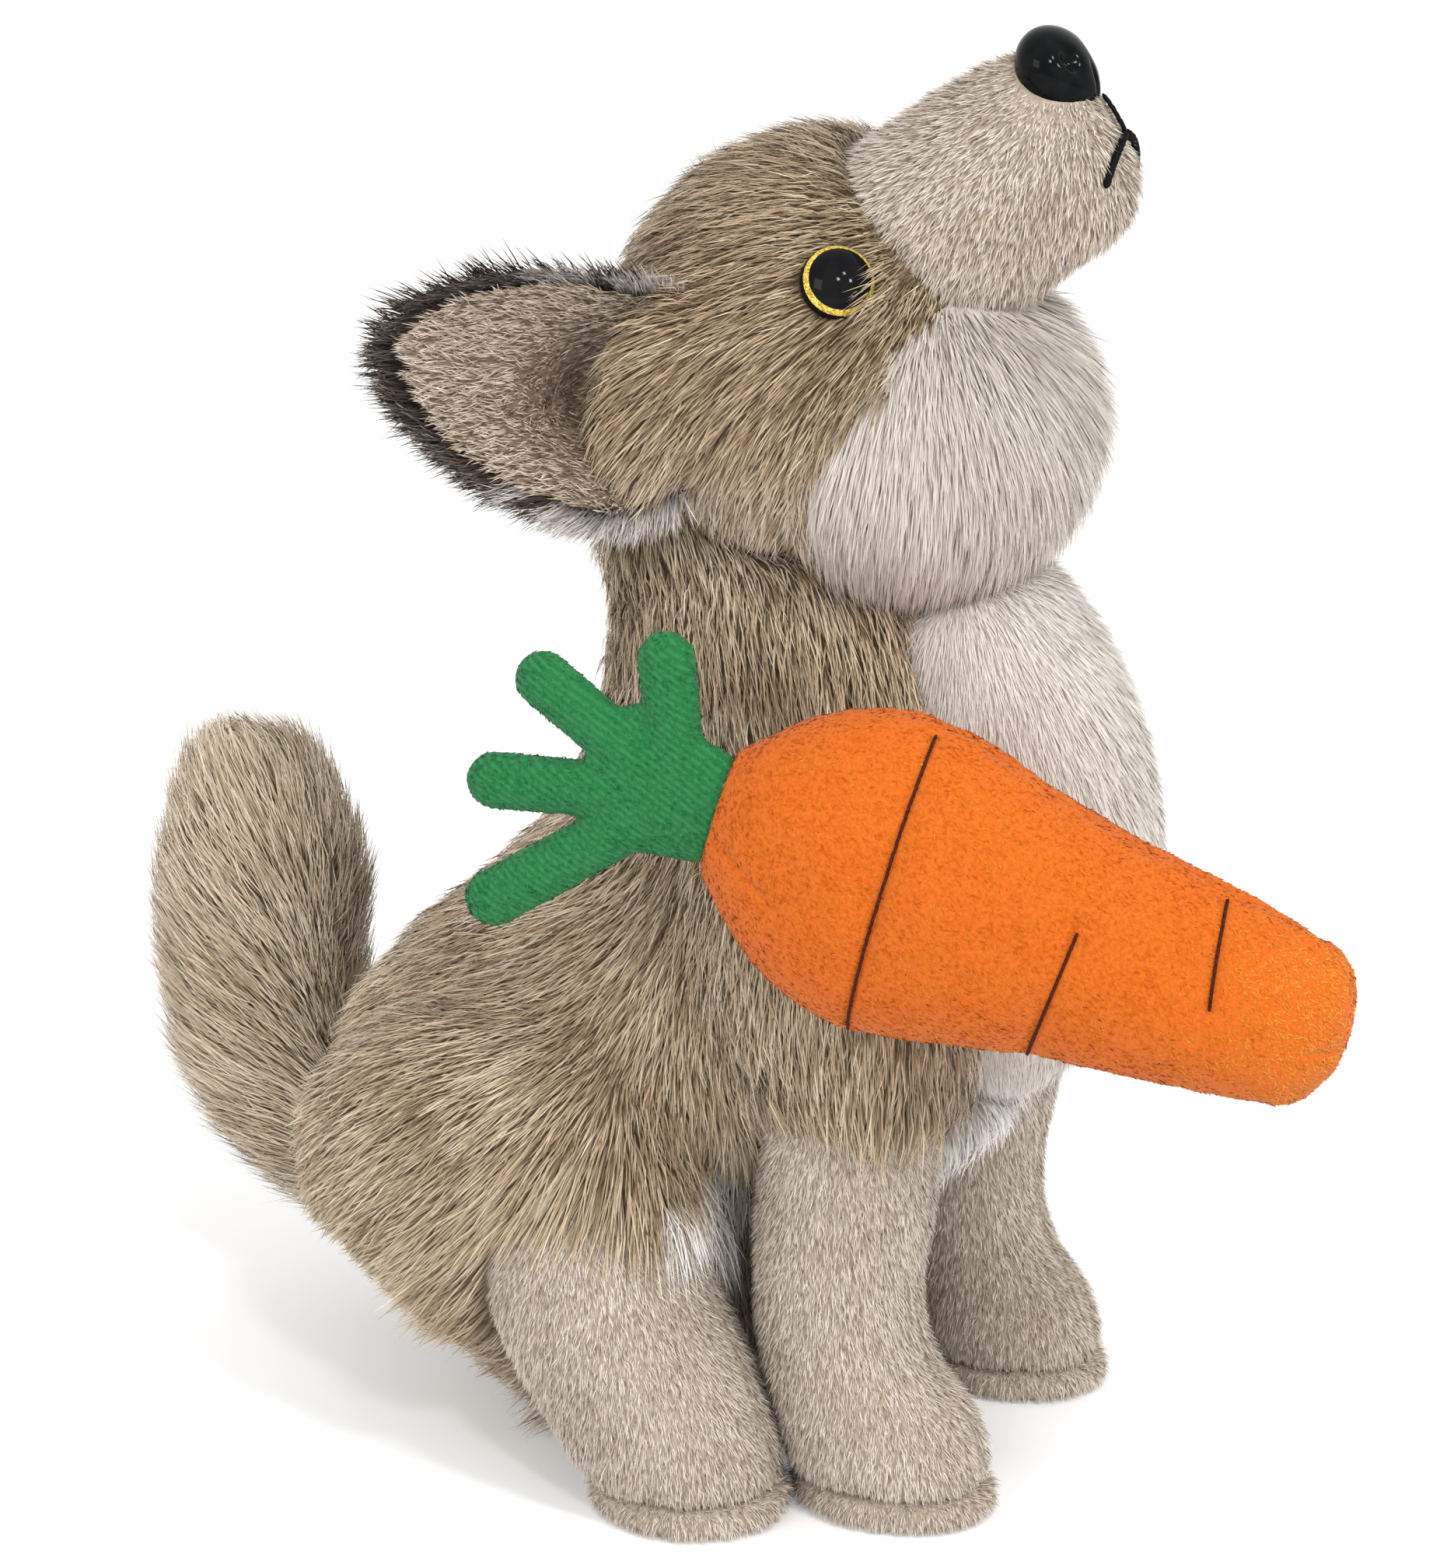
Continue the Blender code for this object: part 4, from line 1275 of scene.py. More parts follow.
TAIL_PILE = Pile(
    length=0.0076, width=0.00023, density=3.6e6, clump=0.0018, pull=0.35, root_lift=36.0, tip_lift=14.0,
    spread=6.0, dark_share=0.16,
)
EAR_PILE = Pile(
    length=0.0050, width=0.00020, density=5.0e6, root_lift=28.0, tip_lift=10.0, pull=0.4, spread=9.0
)
LASH_PILE = replace(HEAD_PILE, length=0.0070, root_lift=80.0, tip_lift=15.0, pull=0.3, vary=0.35)
EAR_LINING = PileFinish(
    "ear_lining_strands", "beige_pile", shades("564230 aa9580 c8b6a2 dccebe"),
    shades("624d3a c0ae9a d8cab8 ece3d7"), root_shade=0.42,
)
ORANGE_NAP = PileFinish(
    "orange_nap", "orange_velour", shades("b24404 c55c08 ca6a10 d2862a"),
    shades("b84a05 c9620a d07418 da943c"), root_shade=0.95, sheen=0.05,
)
GREEN_NAP = PileFinish(
    "green_nap", "green_fleece", shades("0a5426 146a34 1a743c 248046"),
    shades("105e2e 1c763e 268248 3e965e"), root_shade=0.8, sheen=0.1,
)
NAP = Pile(
    length=0.00072, width=0.00034, density=5.6e6, blade=Blade.SHORT, root_lift=20.0, tip_lift=14.0,
    clump=0.0010, pull=0.3, spread=30.0, dark_share=0.0, tone_spread=0.12, wobble=0.08, sink=0.00008,
)
EAR_LINING_PILE = Pile(
    length=0.0026, width=0.00032, density=1.0, blade=Blade.SHORT, root_lift=46.0, tip_lift=20.0,
    clump=0.0016, pull=0.7, spread=12.0, dark_share=0.20, tone_spread=0.24,
)
SHORT_PILE = Pile(
    length=0.0024, width=0.00032, density=9.0e6, blade=Blade.SHORT, root_lift=46.0, tip_lift=22.0,
    clump=0.0012, pull=0.60, spread=10.0, dark_share=0.20, tone_spread=0.22,
)
LEG_PILE = replace(SHORT_PILE, length=0.0019, width=0.00029, root_lift=40.0)


# Forms of this toy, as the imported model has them, but for the higher tops of the hind legs

TORSO = StuffedForm(
    spine=(
        (0.0, 0.0090, 0.0000, 0.0160, 0.0110),
        (0.0, 0.0100, 0.0035, 0.0240, 0.0180),
        (0.0, 0.0120, 0.0115, 0.0310, 0.0260),
        (0.0, 0.0160, 0.0260, 0.0350, 0.0330),
        (0.0, 0.0190, 0.0415, 0.0370, 0.0390),
        (0.0, 0.0120, 0.0535, 0.0365, 0.0440),
        (0.0, -0.0010, 0.0655, 0.0350, 0.0470),
        (0.0, -0.01075, 0.0775, 0.0330, 0.04325),
        (0.0, -0.01775, 0.0905, 0.0315, 0.03925),
        (0.0, -0.0185, 0.1055, 0.0295, 0.0345),
        (0.0, -0.01525, 0.1175, 0.0270, 0.02975),
        (0.0, -0.01025, 0.1285, 0.0245, 0.02575),
    ),
    start_cap=0.0,
    end_cap=0.0040,
    upright=True,
    sides=80,
)
CHEST_FORM = StuffedForm(
    spine=(
        (0.0, -0.0360, 0.1215, 0.0180, 0.0140),
        (0.0, -0.0415, 0.1075, 0.0210, 0.0180),
        (0.0, -0.0450, 0.0905, 0.0220, 0.0195),
        (0.0, -0.0440, 0.0745, 0.0205, 0.0185),
        (0.0, -0.0390, 0.0615, 0.0150, 0.0140),
    ),
    start_cap=0.0060,
    end_cap=0.0070,
)
BELLY_FORM = StuffedForm(
    spine=(
        (0.0, -0.0400, 0.0535, 0.0150, 0.0080),
        (0.0, -0.0270, 0.0455, 0.0185, 0.0105),
        (0.0, -0.0160, 0.0325, 0.0190, 0.0105),
        (0.0, -0.0105, 0.0180, 0.0170, 0.0085),
    ),
    start_cap=0.0060,
    end_cap=0.0060,
)
TAIL_FORM = StuffedForm(
    spine=(
        (0.0, 0.0440, 0.0255, 0.0110, 0.0110),
        (0.0, 0.0590, 0.0295, 0.0130, 0.0130),
        (0.0, 0.0700, 0.0405, 0.0145, 0.0153),
        (0.0, 0.0728, 0.0555, 0.0150, 0.0170),
        (0.0, 0.0724, 0.0700, 0.0150, 0.0168),
        (0.0, 0.0735, 0.0820, 0.0125, 0.0130),
    ),
    start_cap=0.0060,
    end_cap=0.0090,
)
HAUNCH_SPINE = (
    (0.0275, 0.0420, 0.0415, 0.0110, 0.0165),
    (0.0295, 0.0290, 0.0420, 0.0155, 0.0245),
    (0.0305, 0.0120, 0.0425, 0.0160, 0.0275),
    (0.0310, -0.0030, 0.0455, 0.0145, 0.0225),
)
HIND_LEG_SPINE = (
    (0.0318, 0.0070, 0.0435, 0.0125, 0.0125),
    (0.0332, 0.0045, 0.0370, 0.0148, 0.0155),
    (0.0340, 0.0015, 0.0285, 0.0152, 0.0166),
    (0.0350, -0.0055, 0.0165, 0.0145, 0.0155),
    (0.0350, -0.0105, 0.0070, 0.0135, 0.0145),
    (0.0350, -0.0115, 0.0000, 0.0125, 0.0140),
)
SLEEVE_SPINE = (
    (0.0220, -0.0250, 0.0995, 0.0120, 0.0190),
    (0.0250, -0.0280, 0.0855, 0.0145, 0.0215),
    (0.0265, -0.0305, 0.0725, 0.0150, 0.0200),
    (0.0265, -0.0315, 0.0625, 0.0138, 0.0180),
)
FRONT_LEG_SPINE = (
    (0.0255, -0.0315, 0.0635, 0.0095, 0.0110),
    (0.0245, -0.0305, 0.0495, 0.0122, 0.0130),
    (0.0235, -0.0285, 0.0305, 0.0117, 0.0125),
    (0.0230, -0.0310, 0.0160, 0.0118, 0.0132),
    (0.0225, -0.0355, 0.0070, 0.0122, 0.0152),
    (0.0225, -0.0365, 0.0000, 0.0115, 0.0145),
)
HAUNCHES = {hand: StuffedForm(mirror_rows(HAUNCH_SPINE, hand), 0.0100, 0.0090) for hand in Hand}
HIND_LEGS = {
    hand: StuffedForm(mirror_rows(HIND_LEG_SPINE, hand), 0.0040, 0.0020, floor=0.0038) for hand in Hand
}
SLEEVES = {hand: StuffedForm(mirror_rows(SLEEVE_SPINE, hand), 0.0060, 0.0070) for hand in Hand}
FRONT_LEGS = {
    hand: StuffedForm(mirror_rows(FRONT_LEG_SPINE, hand), 0.0040, 0.0020, floor=0.0038) for hand in Hand
}

LEGS = (*HIND_LEGS.values(), *FRONT_LEGS.values())

HEAD_PITCH = math.radians(33.0)
FORWARD = np.array([0.0, -math.cos(HEAD_PITCH), math.sin(HEAD_PITCH)])
UPWARD = np.array([0.0, math.sin(HEAD_PITCH), math.cos(HEAD_PITCH)])
HEAD_CENTRE = np.array([0.0, -0.0150, 0.1545])
HEAD_RADII = np.array([0.0325, 0.0285, 0.0310])
HEAD_BALL = Ball(tuple(HEAD_CENTRE), tuple(HEAD_RADII))
RUFF_BALL = Ball((0.0, -0.0308, 0.1450), (0.0315, 0.0245, 0.0258))


MUZZLE_REACH = 0.0392
MUZZLE_CAP = 0.0095
MUZZLE_TIP_RISE = 0.0134


def muzzle_rows() -> Rows:
    """Sections of the muzzle along the raised axis of the head.

    Returns:
        Rows of x, y, z, half width and half height.
    """
    base = HEAD_CENTRE + UPWARD * 0.0050
    rows = []
    for share in (0.0, 0.28, 0.62, 1.0):
        spot = base + FORWARD * (0.0140 + share * (MUZZLE_REACH - MUZZLE_CAP))
        rise = 0.0160 + share * (MUZZLE_TIP_RISE - 0.0160)
        rows.append((*spot, 0.0165 + share * (0.0115 - 0.0165), rise))
    return tuple(rows)


MUZZLE_FORM = StuffedForm(muzzle_rows(), 0.0040, MUZZLE_CAP)
MUZZLE_TIP = np.array(MUZZLE_FORM.spine[-1][:3])
NOSE_CENTRE = MUZZLE_TIP + FORWARD * (0.5 * MUZZLE_CAP) + UPWARD * (MUZZLE_TIP_RISE - 0.0030)

CARROT_YAW = math.radians(10.0)
CARROT_DIP = math.radians(16.4)
CARROT_JOINT = np.array([-0.0485, -0.0220, 0.1053])
CARROT_LENGTH = 0.0840
LEVEL = np.array([math.sin(CARROT_YAW), -math.cos(CARROT_YAW), 0.0])
CARROT_ALONG = LEVEL * math.cos(CARROT_DIP) - np.array([0.0, 0.0, math.sin(CARROT_DIP)])
CARROT_ACROSS = LEVEL * math.sin(CARROT_DIP) + np.array([0.0, 0.0, math.cos(CARROT_DIP)])
CARROT_OUT = np.array([-math.cos(CARROT_YAW), -math.sin(CARROT_YAW), 0.0])
CARROT_PROFILE = (
    (0.000, 0.0090, 0.0050),
    (0.100, 0.0170, 0.0100),
    (0.200, 0.0213, 0.0125),
    (0.310, 0.0219, 0.0125),
    (0.560, 0.0168, 0.0113),
    (0.780, 0.0141, 0.0100),
    (0.910, 0.0123, 0.0075),
)


@dataclass(frozen=True)
class CarrotForm(Form):
    """The carrot as elliptical sections across its own straight axis."""

    sides: int = 80

    def profile(self) -> Array:
        """Rows of share, half width and half thickness, with the rounded tip.

        Returns:
            The rows from the crown to the tip.
        """
        rows = smooth_rows(CARROT_PROFILE, 9)
        turns = np.radians(np.linspace(8.0, 86.0, 14))
        last = rows[-1]
        tip = np.stack(
            [last[0] + (1.0 - last[0]) * np.sin(turns), last[1] * np.cos(turns), last[2] * np.cos(turns)], 1
        )
        return np.concatenate([rows, tip])

    def surface(self, inset: float) -> Surface:
        """Rings at joint + along * share * length, half width across and half thickness outward.

        Args:
            inset: how far the form is drawn in, in metres.

        Returns:
            The closed skin.
        """
        rows = self.profile()
        turn = around(self.sides)
        half = np.maximum(rows[:, 1:] - inset, 0.0003)
        centre = CARROT_JOINT + np.outer(rows[:, 0] * CARROT_LENGTH, CARROT_ALONG)
        wide = half[:, 0, None, None] * np.cos(turn)[None, :, None] * CARROT_ACROSS
        deep = half[:, 1, None, None] * np.sin(turn)[None, :, None] * CARROT_OUT
        return Surface.from_rings(centre[:, None, :] + wide + deep)

    def contains(self, points: Array, inset: float) -> Array:
        """True inside the ellipse at the point's own share of the length.

        Args:
            points: rows of x, y, z in toy coordinates.
            inset: how far the form is drawn in, in metres.

        Returns:
            One truth value for each point.
        """
        rows = self.profile()
        offset = points - CARROT_JOINT
        share = offset @ CARROT_ALONG / CARROT_LENGTH
        wide = np.interp(share, rows[:, 0], rows[:, 1]) - inset
        deep = np.interp(share, rows[:, 0], rows[:, 2]) - inset
        up = offset @ CARROT_ACROSS / np.maximum(wide, 1e-4)
        out = offset @ CARROT_OUT / np.maximum(deep, 1e-4)
        return (up ** 2 + out ** 2 < 1.0) & (share > 0.0) & (share < 1.0)


CARROT_FORM = CarrotForm()


# Combing


def comb_body(points: Array, normals: Array) -> Array:
    """Back and down over the haunches, straight down at the sleeves and the neck.

    Args:
        points: roots.
        normals: outward normals there.

    Returns:
        The combing directions.
    """
    back = ease(points[:, 1], -0.026, 0.030) * (1.0 - ease(points[:, 2], 0.088, 0.108))
    high = ease(points[:, 2], 0.052, 0.085)
    level = back * (1.15 + 0.9 * high)
    forward = 0.40 * (1.0 - back) * ease(points[:, 1], -0.045, -0.010)
    combs = np.zeros_like(points)
    combs[:, 1] = level - forward
    combs[:, 2] = -1.0 + 0.35 * back * high
    combs += 0.10 * normals[:, :1] * SIDEWAYS
    return combs


def comb_head(points: Array, normals: Array) -> Array:
    """Away from the root of the muzzle, and down at the sides.

    Args:
        points: rows of x, y, z in toy coordinates.
        normals: outward normals there.

    Returns:
        The combing directions.
    """
    root = HEAD_CENTRE + FORWARD * 0.030 + UPWARD * 0.010
    low = 1.0 - ease(points[:, 2], 0.135, 0.172)
    back = np.array([0.0, 0.45, 0.0]) * ease(points[:, 2], 0.140, 0.170)[:, None]
    return unit(points - root) + back + 0.75 * DOWN * low[:, None]


def comb_ruff(points: Array, normals: Array) -> Array:
    """Down and a little outward from the corner of the mouth."""
    corner = np.array([0.0, -0.036, 0.166])
    return 0.45 * unit(points - corner) + 1.0 * DOWN


def comb_tail(points: Array, normals: Array) -> Array:
    """Outward from the root of the tail."""
    return unit(points - np.array([0.0, 0.040, 0.030])) + np.array([0.0, 0.0, 0.35])


def comb_down(points: Array, normals: Array) -> Array:
    """Straight down, and a little forward."""
    return np.tile([0.0, -0.12, -1.0], (len(points), 1))


def comb_muzzle(points: Array, normals: Array) -> Array:
    """Away from the nose, back and down."""
    return unit(points - NOSE_CENTRE) - 0.35 * FORWARD + 0.55 * DOWN


def comb_nap(points: Array, normals: Array) -> Array:
    """Along the carrot towards its tip, and a little down."""
    return np.tile(CARROT_ALONG + 0.4 * DOWN, (len(points), 1))


def laid_on(guide: Array, points: Array, near: float, far: float, rest: float) -> Array:
    """A path drawn onto a surface: the mean of its points, weighted by a bell of their distance.

    Args:
        guide: rows of x, y, z close to the surface.
        points: points of the surface.
        near: width of the bell in metres.
        far: width of a second bell, for rows with no point near.
        rest: weight of the second bell.

    Returns:
        The rows on the surface.
    """
    gaps = ((guide[:, None, :] - points[None, :, :]) ** 2).sum(-1)
    weight = np.exp(-gaps / (2.0 * near ** 2)) + rest * np.exp(-gaps / (2.0 * far ** 2))
    return (weight @ points) / weight.sum(1, keepdims=True)


# Sub-assemblies


@dataclass
class Body:
    """The brown shell of torso, haunches and sleeves, with the tail, the chest and the belly."""

    shop: Workshop
    inset: float = 0.0030
    flank: tuple[float, float, float] = (0.0300, -0.0105, 0.0405)

    def build(self) -> None:
        """Skin and pile of each stuffed form of the body."""
        shop = self.shop
        nape = Ball((0.0, 0.0, 0.1300), (0.0240, 0.0165, 0.0105))
        forms = [TORSO, nape, *HAUNCHES.values(), *SLEEVES.values()]
        cut = Seams(self.back_seam, voxel=0.0021, rounds=5, cap=0.0009, groove=0.0008)
        surface = shop.stuffed("body_shell", [form.surface(self.inset) for form in forms], cut)
        nodes = ["torso", "haunch_right", "haunch_left", "sleeve_right", "sleeve_left"]
        shell = shop.skin("body_shell", surface, BROWN_CLOTH, nodes)
        hidden = [(HEAD_BALL, 0.003), (RUFF_BALL, 0.004), (CHEST_FORM, 0.0015), (BELLY_FORM, 0.0028)]
        hidden += [(leg, 0.001) for leg in LEGS]
        roots = shop.roots_on(shell, LONG_PILE, comb_body, hidden + [(CARROT_FORM, -0.0005)], 11)
        roots = roots.keep(roots.normals[:, 2] > -0.80)
        fringe = inside_any(roots.points, [(leg, -0.0055) for leg in LEGS])
        roots.tones += 0.14
        scallop = 1.60 + 0.45 * ripple(roots.points, 0.009, 15)
        roots.lengths = np.where(fringe, scallop, 1.0) * roots.lengths
        offset = roots.points * 1.0
        offset[:, 0] = np.abs(offset[:, 0])
        reach = np.linalg.norm((offset - self.flank) / np.array([0.0140, 0.0050, 0.0080]), axis=1)
        pale = reach + 0.15 * ripple(roots.points, 0.004, 13) < 1.0
        shop.plant("body_pile", LONG_PILE, roots.keep(~pale), BROWN, 12, [(CARROT_FORM, -0.0003)])
        shop.plant("flank_pile", LONG_PILE, roots.keep(pale), WHITE, 14)

        surface = shop.stuffed("chest", [CHEST_FORM.surface(0.0016)], Seams(middle_seam, groove=0.0))
        chest = shop.skin("chest_skin", surface, CHEST_CLOTH, ["chest"])
        hidden = [(HEAD_BALL, 0.004), (RUFF_BALL, 0.004)] + [(sleeve, 0.002) for sleeve in SLEEVES.values()]
        roots = shop.roots_on(
            chest, CHEST_PILE, comb_down, hidden + [(TORSO, 0.003), (CARROT_FORM, -0.0005)], 21
        )
        shop.plant("chest_pile", CHEST_PILE, roots, CHEST, 22, [(CARROT_FORM, -0.0003)])

        surface = shop.stuffed("belly", [BELLY_FORM.surface(0.0028)], Seams(middle_seam, groove=0.0))
        belly = shop.skin("belly_skin", surface, WHITE_CLOTH, ["belly"])
        hidden = [(CHEST_FORM, 0.003), (TORSO, 0.004)] + [(sleeve, 0.003) for sleeve in SLEEVES.values()]
        hidden += [(leg, 0.001) for leg in LEGS]
        thin = replace(LONG_PILE, density=2.2e6, width=0.00032)
        roots = shop.roots_on(belly, thin, comb_down, hidden, 31)
        shop.plant("belly_pile", thin, roots, WHITE, 32)

        surface = shop.stuffed("tail", [TAIL_FORM.surface(0.0034)], Seams(middle_seam))
        tail = shop.skin("tail_skin", surface, BROWN_CLOTH, ["tail"])
        hidden = [(TORSO, 0.003)] + [(haunch, 0.002) for haunch in HAUNCHES.values()]
        roots = shop.roots_on(tail, TAIL_PILE, comb_tail, hidden, 41)
        roots.tones += 0.7
        shop.plant("tail_pile", TAIL_PILE, roots, BROWN, 42)

    def back_seam(self, points: Array) -> Array:
        """Distance from the seam down the middle of the back."""
        return np.where(points[:, 1] > 0.0, np.abs(points[:, 0]), 1.0)


@dataclass
class Head:
    """Head, ruff and muzzle with their pile, the moulded nose and eyes, and the embroidered mouth."""

    shop: Workshop
    inset: float = 0.0030
    eye_radius: float = 0.0049
    cheek_heights: tuple[float, ...] = (0.1350, 0.1464, 0.1580, 0.1640)
    cheek_places: tuple[float, ...] = (-0.0229, -0.0273, -0.0355, -0.0350)

    def eye_place(self, hand: Hand, sink: float) -> tuple[Array, Array]:
        """Where the ray at the eye's two angles leaves the head ball, sunk by a depth, and the normal there.

        Args:
            hand: the side of the wolf.
            sink: depth under the ball of the head.

        Returns:
            The middle of the eye and the normal.
        """
        side, rise = math.radians(62.0), math.radians(28.5)
        way = np.array(
            [hand.value * math.sin(side) * math.cos(rise), -math.cos(side) * math.cos(rise), math.sin(rise)]
        )
        offset = way / np.linalg.norm(way / HEAD_RADII)
        normal = unit(offset / HEAD_RADII ** 2)
        return HEAD_CENTRE + offset - normal * sink, normal

    def build(self) -> None:
        """All pieces of the head."""
        shop = self.shop
        eyes = [Ball(tuple(self.eye_place(hand, 0.0)[0]), (0.0041,) * 3) for hand in Hand]
        forms = [HEAD_BALL.surface(self.inset), *(self.mound(hand) for hand in Hand)]
        head = shop.skin("head_skin", shop.stuffed("head", forms, Seams(middle_seam)), BROWN_CLOTH, ["head"])
        hidden = [(MUZZLE_FORM, 0.001), (RUFF_BALL, 0.0045)] + [(eye, -0.0006) for eye in eyes]
        roots = shop.roots_on(head, HEAD_PILE, comb_head, hidden, 51)
        roots = roots.keep(roots.points[:, 2] > HEAD_CENTRE[2] - 0.0270)
        # Painted light: the low head is lifted in tone against the shade under the head.
        roots.tones += self.face_tones(roots.points)

        surface = shop.stuffed("ruff", [RUFF_BALL.surface(0.0036)], Seams(middle_seam, groove=0.0))
        ruff = shop.skin("ruff_skin", surface, CREAM_CLOTH, ["throat_ruff"])
        hidden = [(HEAD_BALL, 0.003), (MUZZLE_FORM, 0.001), (CHEST_FORM, 0.002)]
        cream = shop.roots_on(ruff, RUFF_PILE, comb_ruff, hidden, 61)
        edge = np.interp(cream.points[:, 2], self.cheek_heights, self.cheek_places)
        edge = edge + 0.0016 * ripple(cream.points, 0.0045, 63)
        brown = cream.points[:, 1] > edge
        shop.plant("ruff_pile", RUFF_PILE, cream.keep(~brown), CREAM, 62)
        side = cream.keep(brown)
        side.combs = comb_head(side.points, side.normals)
        # Painted light on the low cheeks, as on the head.
        side.tones += self.face_tones(side.points)
        side = side.keep(np.arange(len(side.points)) % 2 == 0)
        shop.plant("cheek_pile", HEAD_PILE, side, BROWN, 64)
        lash = np.zeros(len(roots.points), dtype=bool)
        for hand in Hand:
            offset = roots.points - self.eye_place(hand, 0.0)[0]
            towards = offset @ unit(FORWARD - 0.75 * UPWARD)
            lash |= (np.linalg.norm(offset, axis=1) < 0.0072) & (towards > 0.0018)
        shop.plant("head_pile", HEAD_PILE, roots.keep(~lash), BROWN, 52, [(eye, 0.0) for eye in eyes])
        shop.plant("lash_pile", LASH_PILE, roots.keep(lash), BROWN, 54)
        shop.plant("lash_pile_over", LASH_PILE, roots.keep(lash), BROWN, 55)

        surface = shop.stuffed("muzzle", [self.muzzle_surface()], Seams(middle_seam, groove=0.0003))
        muzzle = shop.skin("muzzle_skin", surface, BEIGE_CLOTH, ["muzzle"])
        nose = Ball(tuple(self.nose_middle()), (0.0059, 0.0052, 0.0052))
        roots = shop.roots_on(muzzle, SHORT_PILE, comb_muzzle, [(HEAD_BALL, 0.003), (nose, 0.0)], 71)
        near = np.linalg.norm(roots.points - self.nose_middle(), axis=1)
        roots.lengths = roots.lengths * (0.72 + 0.28 * ease(near, 0.007, 0.014))
        thread = np.concatenate([line[1] for line in self.mouth_lines()])
        gap = np.sqrt(((roots.points[:, None, :] - thread[None, ::3, :]) ** 2).sum(-1).min(axis=1))
        roots.lengths = roots.lengths * (0.40 + 0.60 * ease(gap, 0.0005, 0.0016))
        shop.plant("muzzle_pile", SHORT_PILE, roots, BEIGE, 72, [(nose, -0.0002)])
        for hand in Hand:
            self.eye(hand)
        self.nose()
        self.mouth()

    def face_tones(self, points: Array) -> Array:
        """Change of tone with height: painted light lifts the low head and cheeks under the ears against the
        shade there, and the sides of the head higher up are darker.
        """
        return 1.15 * (1.0 - ease(points[:, 2], 0.138, 0.150)) - 0.32 * ease(points[:, 2], 0.147, 0.156)

    def mound(self, hand: Hand) -> Surface:
        """The fold of head fabric in front of an ear: an ellipsoid along the ear's own three directions.

        Args:
            hand: the side of the wolf.

        Returns:
            The closed surface of the fold.
        """
        root, along, across, facing = Ear(self.shop, hand).frame()
        down = np.linspace(0.0, math.pi, 22)[1:-1][:, None]
        turn = around(36)[None, :]
        middle = root + along * 0.0085 + facing * 0.0030
        rings = middle + (0.0160 * np.cos(down) * np.ones_like(turn))[..., None] * across
        rings = rings + (0.0070 * np.sin(down) * np.cos(turn))[..., None] * along
        rings = rings + (0.0050 * np.sin(down) * np.sin(turn))[..., None] * facing
        return Surface.from_rings(rings if hand is Hand.LEFT else rings[:, ::-1])

    def muzzle_surface(self) -> Surface:
        """The muzzle with its bridge raised and its tip pinched: x shrinks by a bell round the nose.

        Returns:
            The closed surface of the muzzle.
        """
        rows = np.array(MUZZLE_FORM.spine)
        lift = np.interp(np.arange(len(rows)), [0, 1, 2, 3], [0.0, 0.0003, 0.0011, 0.0016])
        rows[:, :3] += lift[:, None] * UPWARD
        rows[:, 4] += lift
        surface = StuffedForm(
            tuple(tuple(row) for row in rows), MUZZLE_FORM.start_cap, MUZZLE_FORM.end_cap
        ).surface(0.0010)
        offset = surface.points - self.nose_middle()
        bell = np.exp(-((offset @ FORWARD) / 0.0110) ** 2)
        above = ease(offset @ UPWARD, -0.0140, 0.0000)
        points = surface.points.copy()
        points[:, 0] *= 1.0 - bell * (0.20 + 0.22 * above)
        return Surface(points, surface.faces)

    def nose_middle(self) -> Array:
        """Middle of the moulded nose, on the front upper edge of the muzzle."""
        return NOSE_CENTRE - FORWARD * 0.0001 - UPWARD * 0.0008

    def eye(self, hand: Hand) -> None:
        """A domed eye: rings at radius * sin a, raised by height * cos a, with a gold band between two radii.

        Args:
            hand: the side of the wolf.
        """
        centre, normal = self.eye_place(hand, 0.0020)
        side = unit(np.cross(normal, [0.0, 0.0, 1.0]))
        rise = np.cross(side, normal)
        down = np.radians(np.array(
            [3, 8, 14, 20, 26, 32, 38, 44, 50, 54, 56, 60, 64, 68, 71, 73, 76, 82, 90, 110, 135, 160, 175]
        ))
        turn = around(48)
        radius = self.eye_radius * np.sin(down)
        lift = 0.0034 * np.cos(down)
        way = np.cos(turn)[None, :, None] * side + np.sin(turn)[None, :, None] * rise
        rings = centre + radius[:, None, None] * way + lift[:, None, None] * normal
        surface = Surface.from_rings(rings[::-1])
        black = GlossFinish("pupil_gloss", "eye_gloss", (0.004, 0.004, 0.005))
        dull, bright = shades("96701a fae26e")
        gold = GlossFinish("gold_glitter", "eye_gloss", dull, bright, roughness=0.4, metallic=0.3)
        mesh = self.shop.solid(f"eye_dome_{hand.node_end}", surface, black, f"eye_{hand.node_end}").data
        mesh.materials.append(self.shop.finish_of(gold))
        spots = numbers(mesh.polygons, "center", 3) - self.shop.shift - centre
        reach = np.linalg.norm(spots - np.outer(spots @ normal, normal), axis=1) / self.eye_radius
        inner, outer = math.sin(math.radians(55.5)), math.sin(math.radians(71.5))
        band = (reach > inner) & (reach < outer) & (spots @ normal > 0.0)
        mesh.polygons.foreach_set("material_index", band.astype(np.int32))
        mesh.update()

